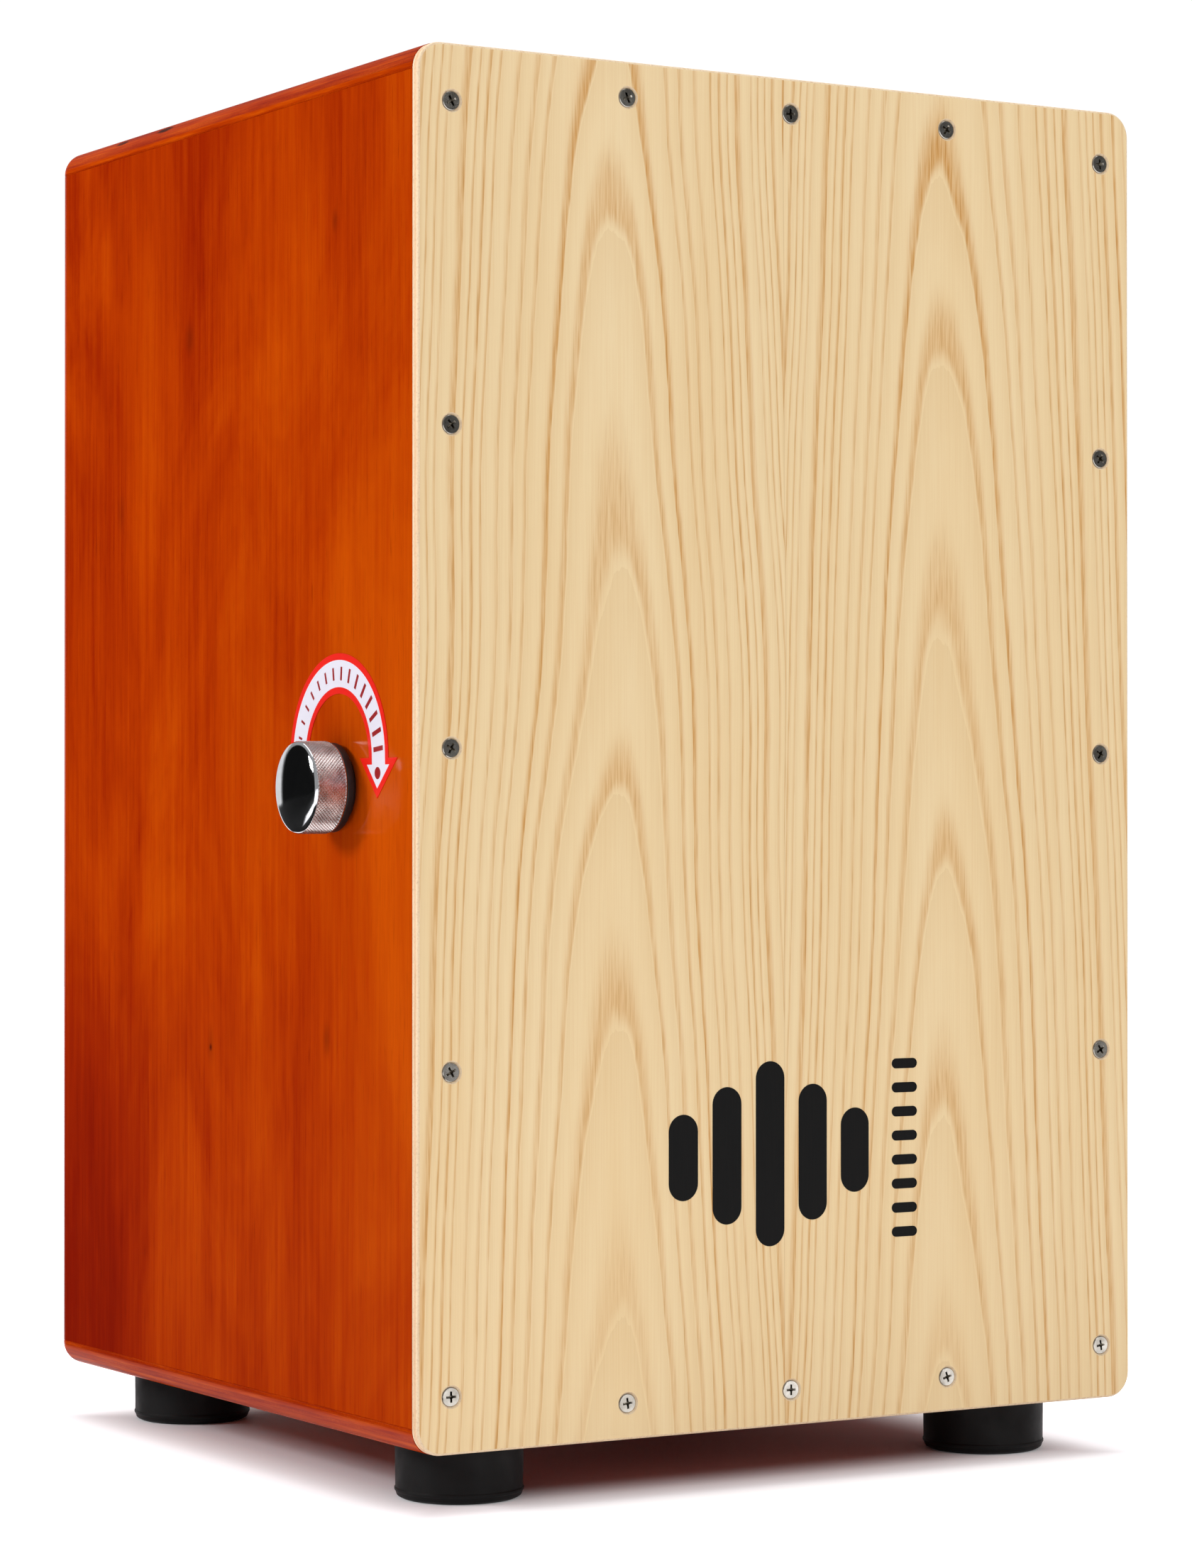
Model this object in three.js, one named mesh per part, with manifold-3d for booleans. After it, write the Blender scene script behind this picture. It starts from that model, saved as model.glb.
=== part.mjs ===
// Cajon: a wooden box drum that the player sits on and strikes on its thin front plate.
// A knob on the left side turns a cross bar inside, which brings two sets of snare wires up to the plate.
//
// Millimetres, +Z up. The front plate faces -Y and the knob stands out on the -X side.
// Sub-parts are placed about the middle of the box, standing on z = 0. The whole drum is then moved
// along +X by half the knob's reach, so that the origin is under the middle of everything.

import * as THREE from 'three';
import { RoundedBoxGeometry } from 'three/addons/geometries/RoundedBoxGeometry.js';
import { mergeVertices } from 'three/addons/utils/BufferGeometryUtils.js';
import Module from 'manifold-3d';

const wasm = await Module();
wasm.setup();

// Box
const WIDTH = 300;
const DEPTH = 296;
const BODY_HEIGHT = 475;
const PANEL = 9;
const PLATE = 4;
const BACK_PANEL = 5;
const EDGE_RADIUS = 8.5;
const PLATE_CORNER_RADIUS = 9;
const BATTEN_THICK = 12;
const BATTEN_DEEP = 18;
const SOUND_HOLE_RADIUS = 60;
const SOUND_HOLE_RISE = 62.5; // above the middle of the back panel

// Front plate screws
const SCREW_SIDE_INSET = 13;
const SCREW_END_INSET = 12.5;
const SCREW_SIDE_PITCH = 109;
const SCREW_END_PITCH = 67.5;
const SCREW_HEAD_RADIUS = 3.25;
const SCREW_SHANK_RADIUS = 1.75;
const SCREW_LENGTH = 16;
const COUNTERSINK_RADIUS = 4.125;

// Feet
const FOOT_RADIUS = 22.5;
const FOOT_HEIGHT = 21;
const FRONT_FEET_INSET = [ 38, 39.5 ]; // from the side, and from the front
const BACK_FEET_INSET = [ 42.5, 34 ]; // from the side, and from the back
const FOOT_RECESS_RADIUS = 9;
const FOOT_RECESS_DEPTH = 12;
const FOOT_SHANK_RADIUS = 2.25;
const FOOT_SHANK_IN_PANEL = 7;
const FOOT_WASHER_RADIUS = 6;
const FOOT_SCREW_HEAD = 4; // its height, and the radius of its top
const FOOT_WASHER_THICK = 1.5;
const FOOT_HOLE_IN_PANEL = 7.5;

// Snare mechanism. The axis runs along X, measured from the plate's face and from the box's underside.
const AXIS_FROM_FRONT = 57;
const AXIS_ABOVE_BOX_BOTTOM = 224.5;
const KNOB_RADIUS = 16;
const KNOB_REACH = 19;
const KNOB_RIM_RADIUS = 15; // of the domed end
const SKIRT_RADIUS = 15.5;
const GRUB_RADIUS = 2;
const GRUB_END = 12; // from the axis
const GRUB_FROM_PANEL = 9;
const SKIRT_START = 1.75; // off the side panel, as are the next three
const GRIP_START = 4.75;
const GRIP_END = 16.25;
const SHAFT_OUTER_END = 12.5;
const SHAFT_RADIUS = 4;
const BORE_RADIUS = 4.375;
const BUSH_RADIUS = 6;
const BUSH_FLANGE = 1.5;
const BUSH_FLANGE_RADIUS = 13;
const NUT_THICK = 4;
const NUT_RADIUS = 9.75; // to its corners
const BLOCK = 36; // the right-hand bearing block is this square
const BLOCK_THICK = 15;
const BLOCK_BUSH_RADIUS = 6.5;
const BLOCK_BUSH_FLANGE = 1.25;
const BLOCK_BUSH_FLANGE_RADIUS = 9;
const PIVOT_CLEAR = 1.5; // between the pivot pin's end and the side panel
const BAR = 22;
const BAR_LEFT = -133;
const BAR_RIGHT = 123;
const BAR_CHAMFER = 2;
const SHAFT_IN_BAR = 21;
const PIN_IN_BAR = 20;
const ARM_OFFSET = 62;
const ARM_WIDTH = 18;
const ARM_THICK = 2;
const ARM_BACK = 9; // the arm's strip on the bar ends this far behind the axis
const ARM_RISE = 16;
const ARM_SCREW_DEEP = 13.5;
const PAN_HEAD = [ 4, 3, 2.5 ]; // its radii and its height
const WIRE_SCREW_RADIUS = 1.5;
const WIRE_SCREW_RISE = 9; // above the bar
const WIRE_HEAD = [ 3, 2.25, 2 ]; // its radii and its height
const ARM_FRONT = -50.25; // the arm's upright and its wires, in front of the axis
const WIRE_PLATE = 1;
const WIRE_RADIUS = 1;
const WIRE_CENTRE = -51.75;
const WIRE_COUNT = 10;
const WIRE_PITCH = 4;
const WIRE_LOW = 14;
const WIRE_HIGH = 116;
const WIRE_PLATE_LOW = 12; // height of the lower end plate, and of the upper one next
const WIRE_PLATE_HIGH = 6;
const WIRE_START = 8; // above the lower plate's foot
const STOP_CIRCLE_Y = 5.875;
const STOP_CIRCLE_Z = 19;
const STOP_X = -122;
const STOP_PIN_RADIUS = 3;
const STOP_PIN_DEPTH = 4.5; // into the side panel
const STOP_PIN_PAST_PEG = 7;
const PEG_RADIUS = 2.5;
const PEG_REACH = 26; // from the axis
const PEG_SOCKET_END = -5; // below the axis

// Arrow label round the knob
const LABEL_OUTER = 36.5;
const LABEL_INNER = 22.5;
const LABEL_RISE = 10; // the arch's centre above the snare axis
const LABEL_THICK = 0.25;
const LABEL_TAIL = 0.12 * Math.PI; // the arch goes this much past a half circle
const LABEL_BARB = 6.5;
const LABEL_DROP = 13.75; // from the arch's centre to the arrow's point
const LABEL_LEAN = 1; // the arrow's point is this far off the arch's middle

const GAP = 0.375; // between a piece and the hole that it sits in
const ROUND = 24;
const SMALL_ROUND = 12;

// Planes of the box
const FRONT = -DEPTH / 2;
const BACK = DEPTH / 2;
const SHELL_FRONT = FRONT + PLATE;
const BACK_INSIDE = BACK - BACK_PANEL;
const BOX_BOTTOM = FOOT_HEIGHT;
const BOX_TOP = BOX_BOTTOM + BODY_HEIGHT;
const MIDDLE = BOX_BOTTOM + BODY_HEIGHT / 2;
const INNER_HEIGHT = BODY_HEIGHT - 2 * PANEL;
const INNER_X = WIDTH / 2 - PANEL;
const AXIS_Y = FRONT + AXIS_FROM_FRONT;
const AXIS_Z = BOX_BOTTOM + AXIS_ABOVE_BOX_BOTTOM;

const LACQUERED_ORANGE = { color: 0xb9450a, roughness: 0.28, metalness: 0 };
const ASH_VENEER = { color: 0xe6cca0, roughness: 0.5, metalness: 0 };
const RAW_PLY = { color: 0xd8b98a, roughness: 0.75, metalness: 0 };
const RAW_PINE = { color: 0xe0c18e, roughness: 0.75, metalness: 0 };
const BEECH = { color: 0xd2a577, roughness: 0.6, metalness: 0 };
const BLACK_RUBBER = { color: 0x151515, roughness: 0.8, metalness: 0 };
const BLACK_PLASTIC = { color: 0x1a1a1c, roughness: 0.45, metalness: 0 };
const CHROME = { color: 0xd9dadd, roughness: 0.12, metalness: 1 };
const NICKEL = { color: 0xb8b6b0, roughness: 0.3, metalness: 1 };
const STEEL = { color: 0xa0a3a6, roughness: 0.35, metalness: 1 };
const LABEL_VINYL = { color: 0xf0eeee, roughness: 0.4, metalness: 0 };

const X = new THREE.Vector3( 1, 0, 0 );
const Y = new THREE.Vector3( 0, 1, 0 );
const Z = new THREE.Vector3( 0, 0, 1 );

// A closed geometry as a solid that can be joined and cut. Triangles that shrink to a line, as they
// do where a lathe profile meets its axis, are left out.
function toSolid( geometry ) {

	const bare = geometry.clone();
	bare.deleteAttribute( 'normal' );
	bare.deleteAttribute( 'uv' );
	const merged = mergeVertices( bare );
	const corners = [];
	for ( let i = 0; i < merged.index.count; i += 3 ) {

		const [ a, b, c ] = [ 0, 1, 2 ].map( ( k ) => merged.index.getX( i + k ) );
		if ( a !== b && b !== c && c !== a ) corners.push( a, b, c );

	}

	return new wasm.Manifold( new wasm.Mesh( {
		numProp: 3,
		vertProperties: merged.attributes.position.array,
		triVerts: Uint32Array.from( corners )
	} ) );

}

function toGeometry( solid ) {

	const { vertProperties, triVerts } = solid.getMesh();
	const geometry = new THREE.BufferGeometry();
	geometry.setAttribute( 'position', new THREE.BufferAttribute( vertProperties, 3 ) );
	geometry.setIndex( new THREE.BufferAttribute( triVerts, 1 ) );
	geometry.computeVertexNormals();
	return geometry;

}

function cut( geometry, tools ) {

	return toGeometry( tools.reduce( ( solid, tool ) => solid.subtract( toSolid( tool ) ), toSolid( geometry ) ) );

}

function join( geometries ) {

	return toGeometry( geometries.map( toSolid ).reduce( ( solid, next ) => solid.add( next ) ) );

}

// A box from one corner to the opposite one.
function slab( [ x0, y0, z0 ], [ x1, y1, z1 ] ) {

	return new THREE.BoxGeometry( x1 - x0, y1 - y0, z1 - z0 )
		.translate( ( x0 + x1 ) / 2, ( y0 + y1 ) / 2, ( z0 + z1 ) / 2 );

}

// A round solid about +Y from [ radius, height ] points, listed from the bottom outwards and up.
function turned( points, sides ) {

	return new THREE.LatheGeometry( points.map( ( [ r, h ] ) => new THREE.Vector2( r, h ) ), sides );

}

// A rod of one radius along an axis, from one coordinate to another.
function rod( axis, radius, from, to, sides = SMALL_ROUND ) {

	const profile = [ [ 0, from ], [ radius, from ], [ radius, to ], [ 0, to ] ];
	return pointed( turned( profile, sides ), axis );

}

// Turns a round solid from +Y to another axis.
function pointed( geometry, axis ) {

	if ( axis === Z ) return geometry.rotateX( Math.PI / 2 );
	if ( axis === X ) return geometry.rotateZ( - Math.PI / 2 );
	return geometry;

}

// Stands a geometry drawn in XY and extruded along Z on the plane of two other axes.
function laid( geometry, across, up ) {

	const out = new THREE.Vector3().crossVectors( across, up );
	return geometry.applyMatrix4( new THREE.Matrix4().makeBasis( across, up, out ) );

}

function mesh( name, geometry, finish ) {

	const piece = new THREE.Mesh( geometry, new THREE.MeshStandardMaterial( finish ) );
	piece.name = name;
	return piece;

}

// The shell's outer form: a box with rounded edges that runs on past its open front.
function shellForm() {

	const runOut = 3 * EDGE_RADIUS;
	const length = BACK - SHELL_FRONT + runOut;
	return new RoundedBoxGeometry( WIDTH, length, BODY_HEIGHT, 3, EDGE_RADIUS )
		.translate( 0, BACK - length / 2, MIDDLE );

}

// A shell panel fills a slab of the shell's form, from its front to its back. The slab given by
// X and Z limits can run past the form's outside.
function shellPanel( [ x0, x1 ], [ z0, z1 ], holes = [] ) {

	const board = slab( [ x0, SHELL_FRONT, z0 ], [ x1, BACK + 1, z1 ] );
	let solid = toSolid( board ).intersect( toSolid( shellForm() ) );
	for ( const hole of holes ) solid = solid.subtract( toSolid( hole ) );
	return toGeometry( solid );

}

function footPlaces() {

	const frontSide = WIDTH / 2 - FRONT_FEET_INSET[ 0 ];
	const backSide = WIDTH / 2 - BACK_FEET_INSET[ 0 ];
	const front = FRONT + FRONT_FEET_INSET[ 1 ];
	const back = BACK - BACK_FEET_INSET[ 1 ];
	return [
		[ 'front_left', - frontSide, front ],
		[ 'front_right', frontSide, front ],
		[ 'back_left', - backSide, back ],
		[ 'back_right', backSide, back ]
	];

}

function shell() {

	const past = WIDTH / 2 + 1;
	const bottomHoles = footPlaces().map( ( [ , x, y ] ) =>
		rod( Z, FOOT_SHANK_RADIUS + GAP, BOX_BOTTOM - 1, BOX_BOTTOM + FOOT_HOLE_IN_PANEL ).translate( x, y, 0 ) );
	const innerTop = BOX_TOP - PANEL;
	const innerBottom = BOX_BOTTOM + PANEL;
	const bushHole = rod( X, BUSH_RADIUS + GAP, - past, - INNER_X + 1, ROUND ).translate( 0, AXIS_Y, AXIS_Z );
	const stopHoles = [ - STOP_CIRCLE_Z, STOP_CIRCLE_Z ].map( ( z ) =>
		rod( X, STOP_PIN_RADIUS + GAP, - INNER_X - STOP_PIN_DEPTH - 0.5, - INNER_X + 1 )
			.translate( 0, AXIS_Y + STOP_CIRCLE_Y, AXIS_Z + z ) );
	return [
		mesh( 'top_panel', shellPanel( [ - past, past ], [ innerTop, BOX_TOP + 1 ] ), LACQUERED_ORANGE ),
		mesh( 'bottom_panel', shellPanel( [ - past, past ], [ BOX_BOTTOM - 1, innerBottom ], bottomHoles ),
			LACQUERED_ORANGE ),
		mesh( 'left_side_panel',
			shellPanel( [ - past, - INNER_X ], [ innerBottom, innerTop ], [ bushHole, ...stopHoles ] ), LACQUERED_ORANGE ),
		mesh( 'right_side_panel', shellPanel( [ INNER_X, past ], [ innerBottom, innerTop ] ), LACQUERED_ORANGE )
	];

}

// The thin back panel is let in flush between the shell's panels.
function backPanel() {

	const outline = new THREE.Shape();
	outline.moveTo( - INNER_X, - INNER_HEIGHT / 2 );
	outline.lineTo( INNER_X, - INNER_HEIGHT / 2 );
	outline.lineTo( INNER_X, INNER_HEIGHT / 2 );
	outline.lineTo( - INNER_X, INNER_HEIGHT / 2 );
	outline.closePath();
	const hole = new THREE.Path();
	hole.absarc( 0, SOUND_HOLE_RISE, SOUND_HOLE_RADIUS, 0, 2 * Math.PI, true );
	outline.holes.push( hole );
	const board = new THREE.ExtrudeGeometry( outline, { depth: BACK_PANEL, bevelEnabled: false, curveSegments: ROUND } );
	return mesh( 'back_panel', laid( board, X, Z ).translate( 0, BACK, MIDDLE ), LACQUERED_ORANGE );

}

// Sixteen places: five down each side and three along the top and the bottom.
function screwPlaces() {

	const side = WIDTH / 2 - SCREW_SIDE_INSET;
	const end = BODY_HEIGHT / 2 - SCREW_END_INSET;
	const places = [];
	for ( let i = 0; i < 5; i ++ ) {

		const z = MIDDLE + ( i - 2 ) * SCREW_SIDE_PITCH;
		places.push( [ `left_${ i + 1 }`, - side, z ], [ `right_${ i + 1 }`, side, z ] );

	}

	for ( let i = 0; i < 3; i ++ ) {

		const x = ( i - 1 ) * SCREW_END_PITCH;
		places.push( [ `bottom_${ i + 1 }`, x, MIDDLE - end ], [ `top_${ i + 1 }`, x, MIDDLE + end ] );

	}

	return places;

}

// The front plate: thin plywood with rounded corners and countersunk holes.
function frontPlate() {

	const w = WIDTH / 2;
	const h = BODY_HEIGHT / 2;
	const r = PLATE_CORNER_RADIUS;
	const outline = new THREE.Shape();
	outline.absarc( w - r, h - r, r, 0, Math.PI / 2 );
	outline.absarc( - w + r, h - r, r, Math.PI / 2, Math.PI );
	outline.absarc( - w + r, - h + r, r, Math.PI, 1.5 * Math.PI );
	outline.absarc( w - r, - h + r, r, 1.5 * Math.PI, 2 * Math.PI );
	const board = new THREE.ExtrudeGeometry( outline, { depth: PLATE, bevelEnabled: false, curveSegments: 6 } );
	const hole = SCREW_SHANK_RADIUS + GAP;
	const sink = [
		[ 0, FRONT - 1 ],
		[ COUNTERSINK_RADIUS + 1, FRONT - 1 ],
		[ hole, FRONT + COUNTERSINK_RADIUS - hole ],
		[ hole, SHELL_FRONT + 1 ],
		[ 0, SHELL_FRONT + 1 ]
	];
	const sinks = screwPlaces().map( ( [ , x, z ] ) => turned( sink, SMALL_ROUND ).translate( x, 0, z ) );
	return mesh( 'front_plate', cut( laid( board, X, Z ).translate( 0, SHELL_FRONT, MIDDLE ), sinks ), ASH_VENEER );

}

// One countersunk wood screw, with its head a little below the plate's face.
function frontScrew( name, x, z ) {

	const sunk = 0.25;
	const rim = 0.25;
	const neck = sunk + rim + SCREW_HEAD_RADIUS - SCREW_SHANK_RADIUS;
	const profile = [
		[ 0, sunk ],
		[ SCREW_HEAD_RADIUS, sunk ],
		[ SCREW_HEAD_RADIUS, sunk + rim ],
		[ SCREW_SHANK_RADIUS, neck ],
		[ SCREW_SHANK_RADIUS, SCREW_LENGTH - 3 ],
		[ 0, SCREW_LENGTH ]
	];
	const piece = mesh( `front_screw_${ name }`, turned( profile, SMALL_ROUND ), NICKEL );
	piece.position.set( x, FRONT, z );
	return piece;

}

// Glued strips round the inside of the shell at the front, which take the screws, and at the back,
// which carry the back panel.
function battens() {

	const low = BOX_BOTTOM + PANEL;
	const high = BOX_TOP - PANEL;
	const post = INNER_X - BATTEN_THICK;
	const pilots = screwPlaces().map( ( [ , x, z ] ) =>
		rod( Y, SCREW_SHANK_RADIUS + GAP, SHELL_FRONT - 1, FRONT + SCREW_LENGTH + GAP ).translate( x, 0, z ) );
	const strips = [
		[ 'left', [ - INNER_X, low ], [ - post, high ] ],
		[ 'right', [ post, low ], [ INNER_X, high ] ],
		[ 'bottom', [ - post, low ], [ post, low + BATTEN_THICK ] ],
		[ 'top', [ - post, high - BATTEN_THICK ], [ post, high ] ]
	];
	const backStart = BACK_INSIDE - BATTEN_DEEP;
	return strips.flatMap( ( [ place, [ x0, z0 ], [ x1, z1 ] ] ) => [
		mesh( `front_batten_${ place }`,
			cut( slab( [ x0, SHELL_FRONT, z0 ], [ x1, SHELL_FRONT + BATTEN_DEEP, z1 ] ), pilots ), RAW_PINE ),
		mesh( `back_batten_${ place }`, slab( [ x0, backStart, z0 ], [ x1, BACK_INSIDE, z1 ] ), RAW_PINE )
	] );

}

// A rubber foot with a stepped hole, and the washer-head screw that holds it to the bottom panel.
function foot( place, x, y ) {

	const hole = FOOT_SHANK_RADIUS + GAP;
	const rubber = [
		[ hole, FOOT_RECESS_DEPTH ],
		[ FOOT_RECESS_RADIUS, FOOT_RECESS_DEPTH ],
		[ FOOT_RECESS_RADIUS, 0 ],
		[ FOOT_RADIUS - 3, 0 ],
		[ FOOT_RADIUS - 0.75, 1.5 ],
		[ FOOT_RADIUS, 4.5 ],
		[ FOOT_RADIUS, FOOT_HEIGHT ],
		[ hole, FOOT_HEIGHT ],
		[ hole, FOOT_RECESS_DEPTH ]
	];
	const screw = [
		[ 0, FOOT_RECESS_DEPTH - FOOT_SCREW_HEAD ],
		[ FOOT_SCREW_HEAD, FOOT_RECESS_DEPTH - FOOT_SCREW_HEAD ],
		[ FOOT_WASHER_RADIUS, FOOT_RECESS_DEPTH - FOOT_WASHER_THICK ],
		[ FOOT_WASHER_RADIUS, FOOT_RECESS_DEPTH ],
		[ FOOT_SHANK_RADIUS, FOOT_RECESS_DEPTH ],
		[ FOOT_SHANK_RADIUS, FOOT_HEIGHT + FOOT_SHANK_IN_PANEL - 2 ],
		[ 0, FOOT_HEIGHT + FOOT_SHANK_IN_PANEL ]
	];
	const pieces = [
		mesh( `foot_${ place }`, pointed( turned( rubber, ROUND ), Z ), BLACK_RUBBER ),
		mesh( `foot_screw_${ place }`, pointed( turned( screw, SMALL_ROUND ), Z ), STEEL )
	];
	for ( const piece of pieces ) piece.position.set( x, y, 0 );
	return pieces;

}

// The stuck-on label: an arch over the knob that ends in an arrowhead towards the front plate.
function arrowLabel() {

	const middle = ( LABEL_OUTER + LABEL_INNER ) / 2;
	const arch = new THREE.Shape();
	arch.absarc( 0, 0, LABEL_OUTER, 0, Math.PI + LABEL_TAIL );
	arch.absarc( 0, 0, LABEL_INNER, Math.PI + LABEL_TAIL, 0, true );
	arch.lineTo( LABEL_INNER - LABEL_BARB, 0 );
	arch.lineTo( middle - LABEL_LEAN, - LABEL_DROP );
	arch.lineTo( LABEL_OUTER + LABEL_BARB, 0 );
	arch.closePath();
	const vinyl = new THREE.ExtrudeGeometry( arch, { depth: LABEL_THICK, bevelEnabled: false, curveSegments: ROUND } );
	const towardsFront = Y.clone().negate();
	return mesh( 'arrow_label',
		laid( vinyl, towardsFront, Z ).translate( - WIDTH / 2, AXIS_Y, AXIS_Z + LABEL_RISE ), LABEL_VINYL );

}

// The fixed bearings of the snare shaft: a flanged bush and its nut in the left side panel, and a
// wooden block with a plain bush on the right. Two dowels in the left panel stop the peg on the bar.
function snareBearings() {

	const outside = - WIDTH / 2;
	const barrelEnd = - INNER_X + NUT_THICK + 1;
	const bush = pointed( turned( [
		[ BORE_RADIUS, outside - BUSH_FLANGE ],
		[ BUSH_FLANGE_RADIUS, outside - BUSH_FLANGE ],
		[ BUSH_FLANGE_RADIUS, outside ],
		[ BUSH_RADIUS, outside ],
		[ BUSH_RADIUS, barrelEnd ],
		[ BORE_RADIUS, barrelEnd ],
		[ BORE_RADIUS, outside - BUSH_FLANGE ]
	], ROUND ), X );
	const hexagon = rod( X, NUT_RADIUS, - INNER_X, - INNER_X + NUT_THICK, 6 );
	const nut = cut( hexagon, [ rod( X, BUSH_RADIUS + GAP, - INNER_X - 1, - INNER_X + NUT_THICK + 1, ROUND ) ] );
	const blockLeft = INNER_X - BLOCK_THICK;
	const block = cut( slab( [ blockLeft, - BLOCK / 2, - BLOCK / 2 ], [ INNER_X, BLOCK / 2, BLOCK / 2 ] ),
		[ rod( X, BLOCK_BUSH_RADIUS + GAP, blockLeft - 1, INNER_X + 1, ROUND ) ] );
	const blockBush = pointed( turned( [
		[ BORE_RADIUS, blockLeft - BLOCK_BUSH_FLANGE ],
		[ BLOCK_BUSH_FLANGE_RADIUS, blockLeft - BLOCK_BUSH_FLANGE ],
		[ BLOCK_BUSH_FLANGE_RADIUS, blockLeft ],
		[ BLOCK_BUSH_RADIUS, blockLeft ],
		[ BLOCK_BUSH_RADIUS, INNER_X - 1 ],
		[ BORE_RADIUS, INNER_X - 1 ],
		[ BORE_RADIUS, blockLeft - BLOCK_BUSH_FLANGE ]
	], ROUND ), X );
	const stop = rod( X, STOP_PIN_RADIUS, - INNER_X - STOP_PIN_DEPTH, STOP_X + STOP_PIN_PAST_PEG );
	const pieces = [
		mesh( 'knob_bush', bush, BLACK_PLASTIC ),
		mesh( 'knob_bush_nut', nut, NICKEL ),
		mesh( 'bearing_block', block, BEECH ),
		mesh( 'bearing_bush', blockBush, BLACK_PLASTIC ),
		mesh( 'stop_pin_on', stop.clone().translate( 0, STOP_CIRCLE_Y, - STOP_CIRCLE_Z ), BEECH ),
		mesh( 'stop_pin_off', stop.clone().translate( 0, STOP_CIRCLE_Y, STOP_CIRCLE_Z ), BEECH )
	];
	for ( const piece of pieces ) piece.position.set( 0, AXIS_Y, AXIS_Z );
	return pieces;

}

// The knob turns on the side panel: a black skirt, a chromed grip with a domed end, and a grub screw
// that grips the shaft from behind.
function knob() {

	const panel = - WIDTH / 2;
	const grubX = panel - GRUB_FROM_PANEL;
	const grip = pointed( turned( [
		[ 0, panel - KNOB_REACH ],
		[ 6, panel - KNOB_REACH + 0.375 ],
		[ 11, panel - KNOB_REACH + 1.25 ],
		[ KNOB_RIM_RADIUS, panel - GRIP_END - 0.5 ],
		[ KNOB_RIM_RADIUS, panel - GRIP_END ],
		[ KNOB_RADIUS, panel - GRIP_END + 0.5 ],
		[ KNOB_RADIUS, panel - GRIP_START ],
		[ BORE_RADIUS, panel - GRIP_START ],
		[ BORE_RADIUS, panel - SHAFT_OUTER_END - GAP ],
		[ 0, panel - SHAFT_OUTER_END - GAP ]
	], ROUND ), X );
	const skirt = pointed( turned( [
		[ BORE_RADIUS, panel - GRIP_START ],
		[ SKIRT_RADIUS, panel - GRIP_START ],
		[ SKIRT_RADIUS, panel - SKIRT_START ],
		[ BORE_RADIUS, panel - SKIRT_START ],
		[ BORE_RADIUS, panel - GRIP_START ]
	], ROUND ), X );
	const grubHole = rod( Y, GRUB_RADIUS + GAP, SHAFT_RADIUS, KNOB_RADIUS + 1 ).translate( grubX, 0, 0 );
	const grub = rod( Y, GRUB_RADIUS, SHAFT_RADIUS + GAP, GRUB_END ).translate( grubX, 0, 0 );
	return [
		mesh( 'knob', cut( grip, [ grubHole ] ), CHROME ),
		mesh( 'knob_skirt', skirt, BLACK_PLASTIC ),
		mesh( 'knob_grub_screw', grub, STEEL )
	];

}

// The beech cross bar, the steel shaft and pivot pin in its ends, and the peg that meets the stops.
function crossBar() {

	const half = BAR / 2;
	const shaftEnd = BAR_LEFT + SHAFT_IN_BAR;
	const pinStart = BAR_RIGHT - PIN_IN_BAR;
	const holes = [
		rod( X, BORE_RADIUS, BAR_LEFT - 1, shaftEnd + GAP, ROUND ),
		rod( X, BORE_RADIUS, pinStart - GAP, BAR_RIGHT + 1, ROUND ),
		rod( Z, PEG_RADIUS + GAP, - half - 1, PEG_SOCKET_END ).translate( STOP_X, 0, 0 ),
		...[ - ARM_OFFSET, ARM_OFFSET ].map( ( x ) =>
			rod( Z, SCREW_SHANK_RADIUS + GAP, half - ARM_SCREW_DEEP - 0.5, half + 1 ).translate( x, 0, 0 ) )
	];
	const outline = new THREE.Shape();
	const flat = half - BAR_CHAMFER;
	outline.moveTo( flat, - half );
	outline.lineTo( half, - flat );
	outline.lineTo( half, flat );
	outline.lineTo( flat, half );
	outline.lineTo( - flat, half );
	outline.lineTo( - half, flat );
	outline.lineTo( - half, - flat );
	outline.lineTo( - flat, - half );
	outline.closePath();
	const bar = new THREE.ExtrudeGeometry( outline, { depth: BAR_RIGHT - BAR_LEFT, bevelEnabled: false } );
	return [
		mesh( 'cross_bar', cut( laid( bar, Y, Z ).translate( BAR_LEFT, 0, 0 ), holes ), BEECH ),
		mesh( 'knob_shaft', rod( X, SHAFT_RADIUS, - WIDTH / 2 - SHAFT_OUTER_END, shaftEnd, ROUND ), STEEL ),
		mesh( 'pivot_pin', rod( X, SHAFT_RADIUS, pinStart, INNER_X - PIVOT_CLEAR, ROUND ), STEEL ),
		mesh( 'stop_peg', rod( Z, PEG_RADIUS, - PEG_REACH, PEG_SOCKET_END - GAP ).translate( STOP_X, 0, 0 ), BEECH )
	];

}

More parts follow.
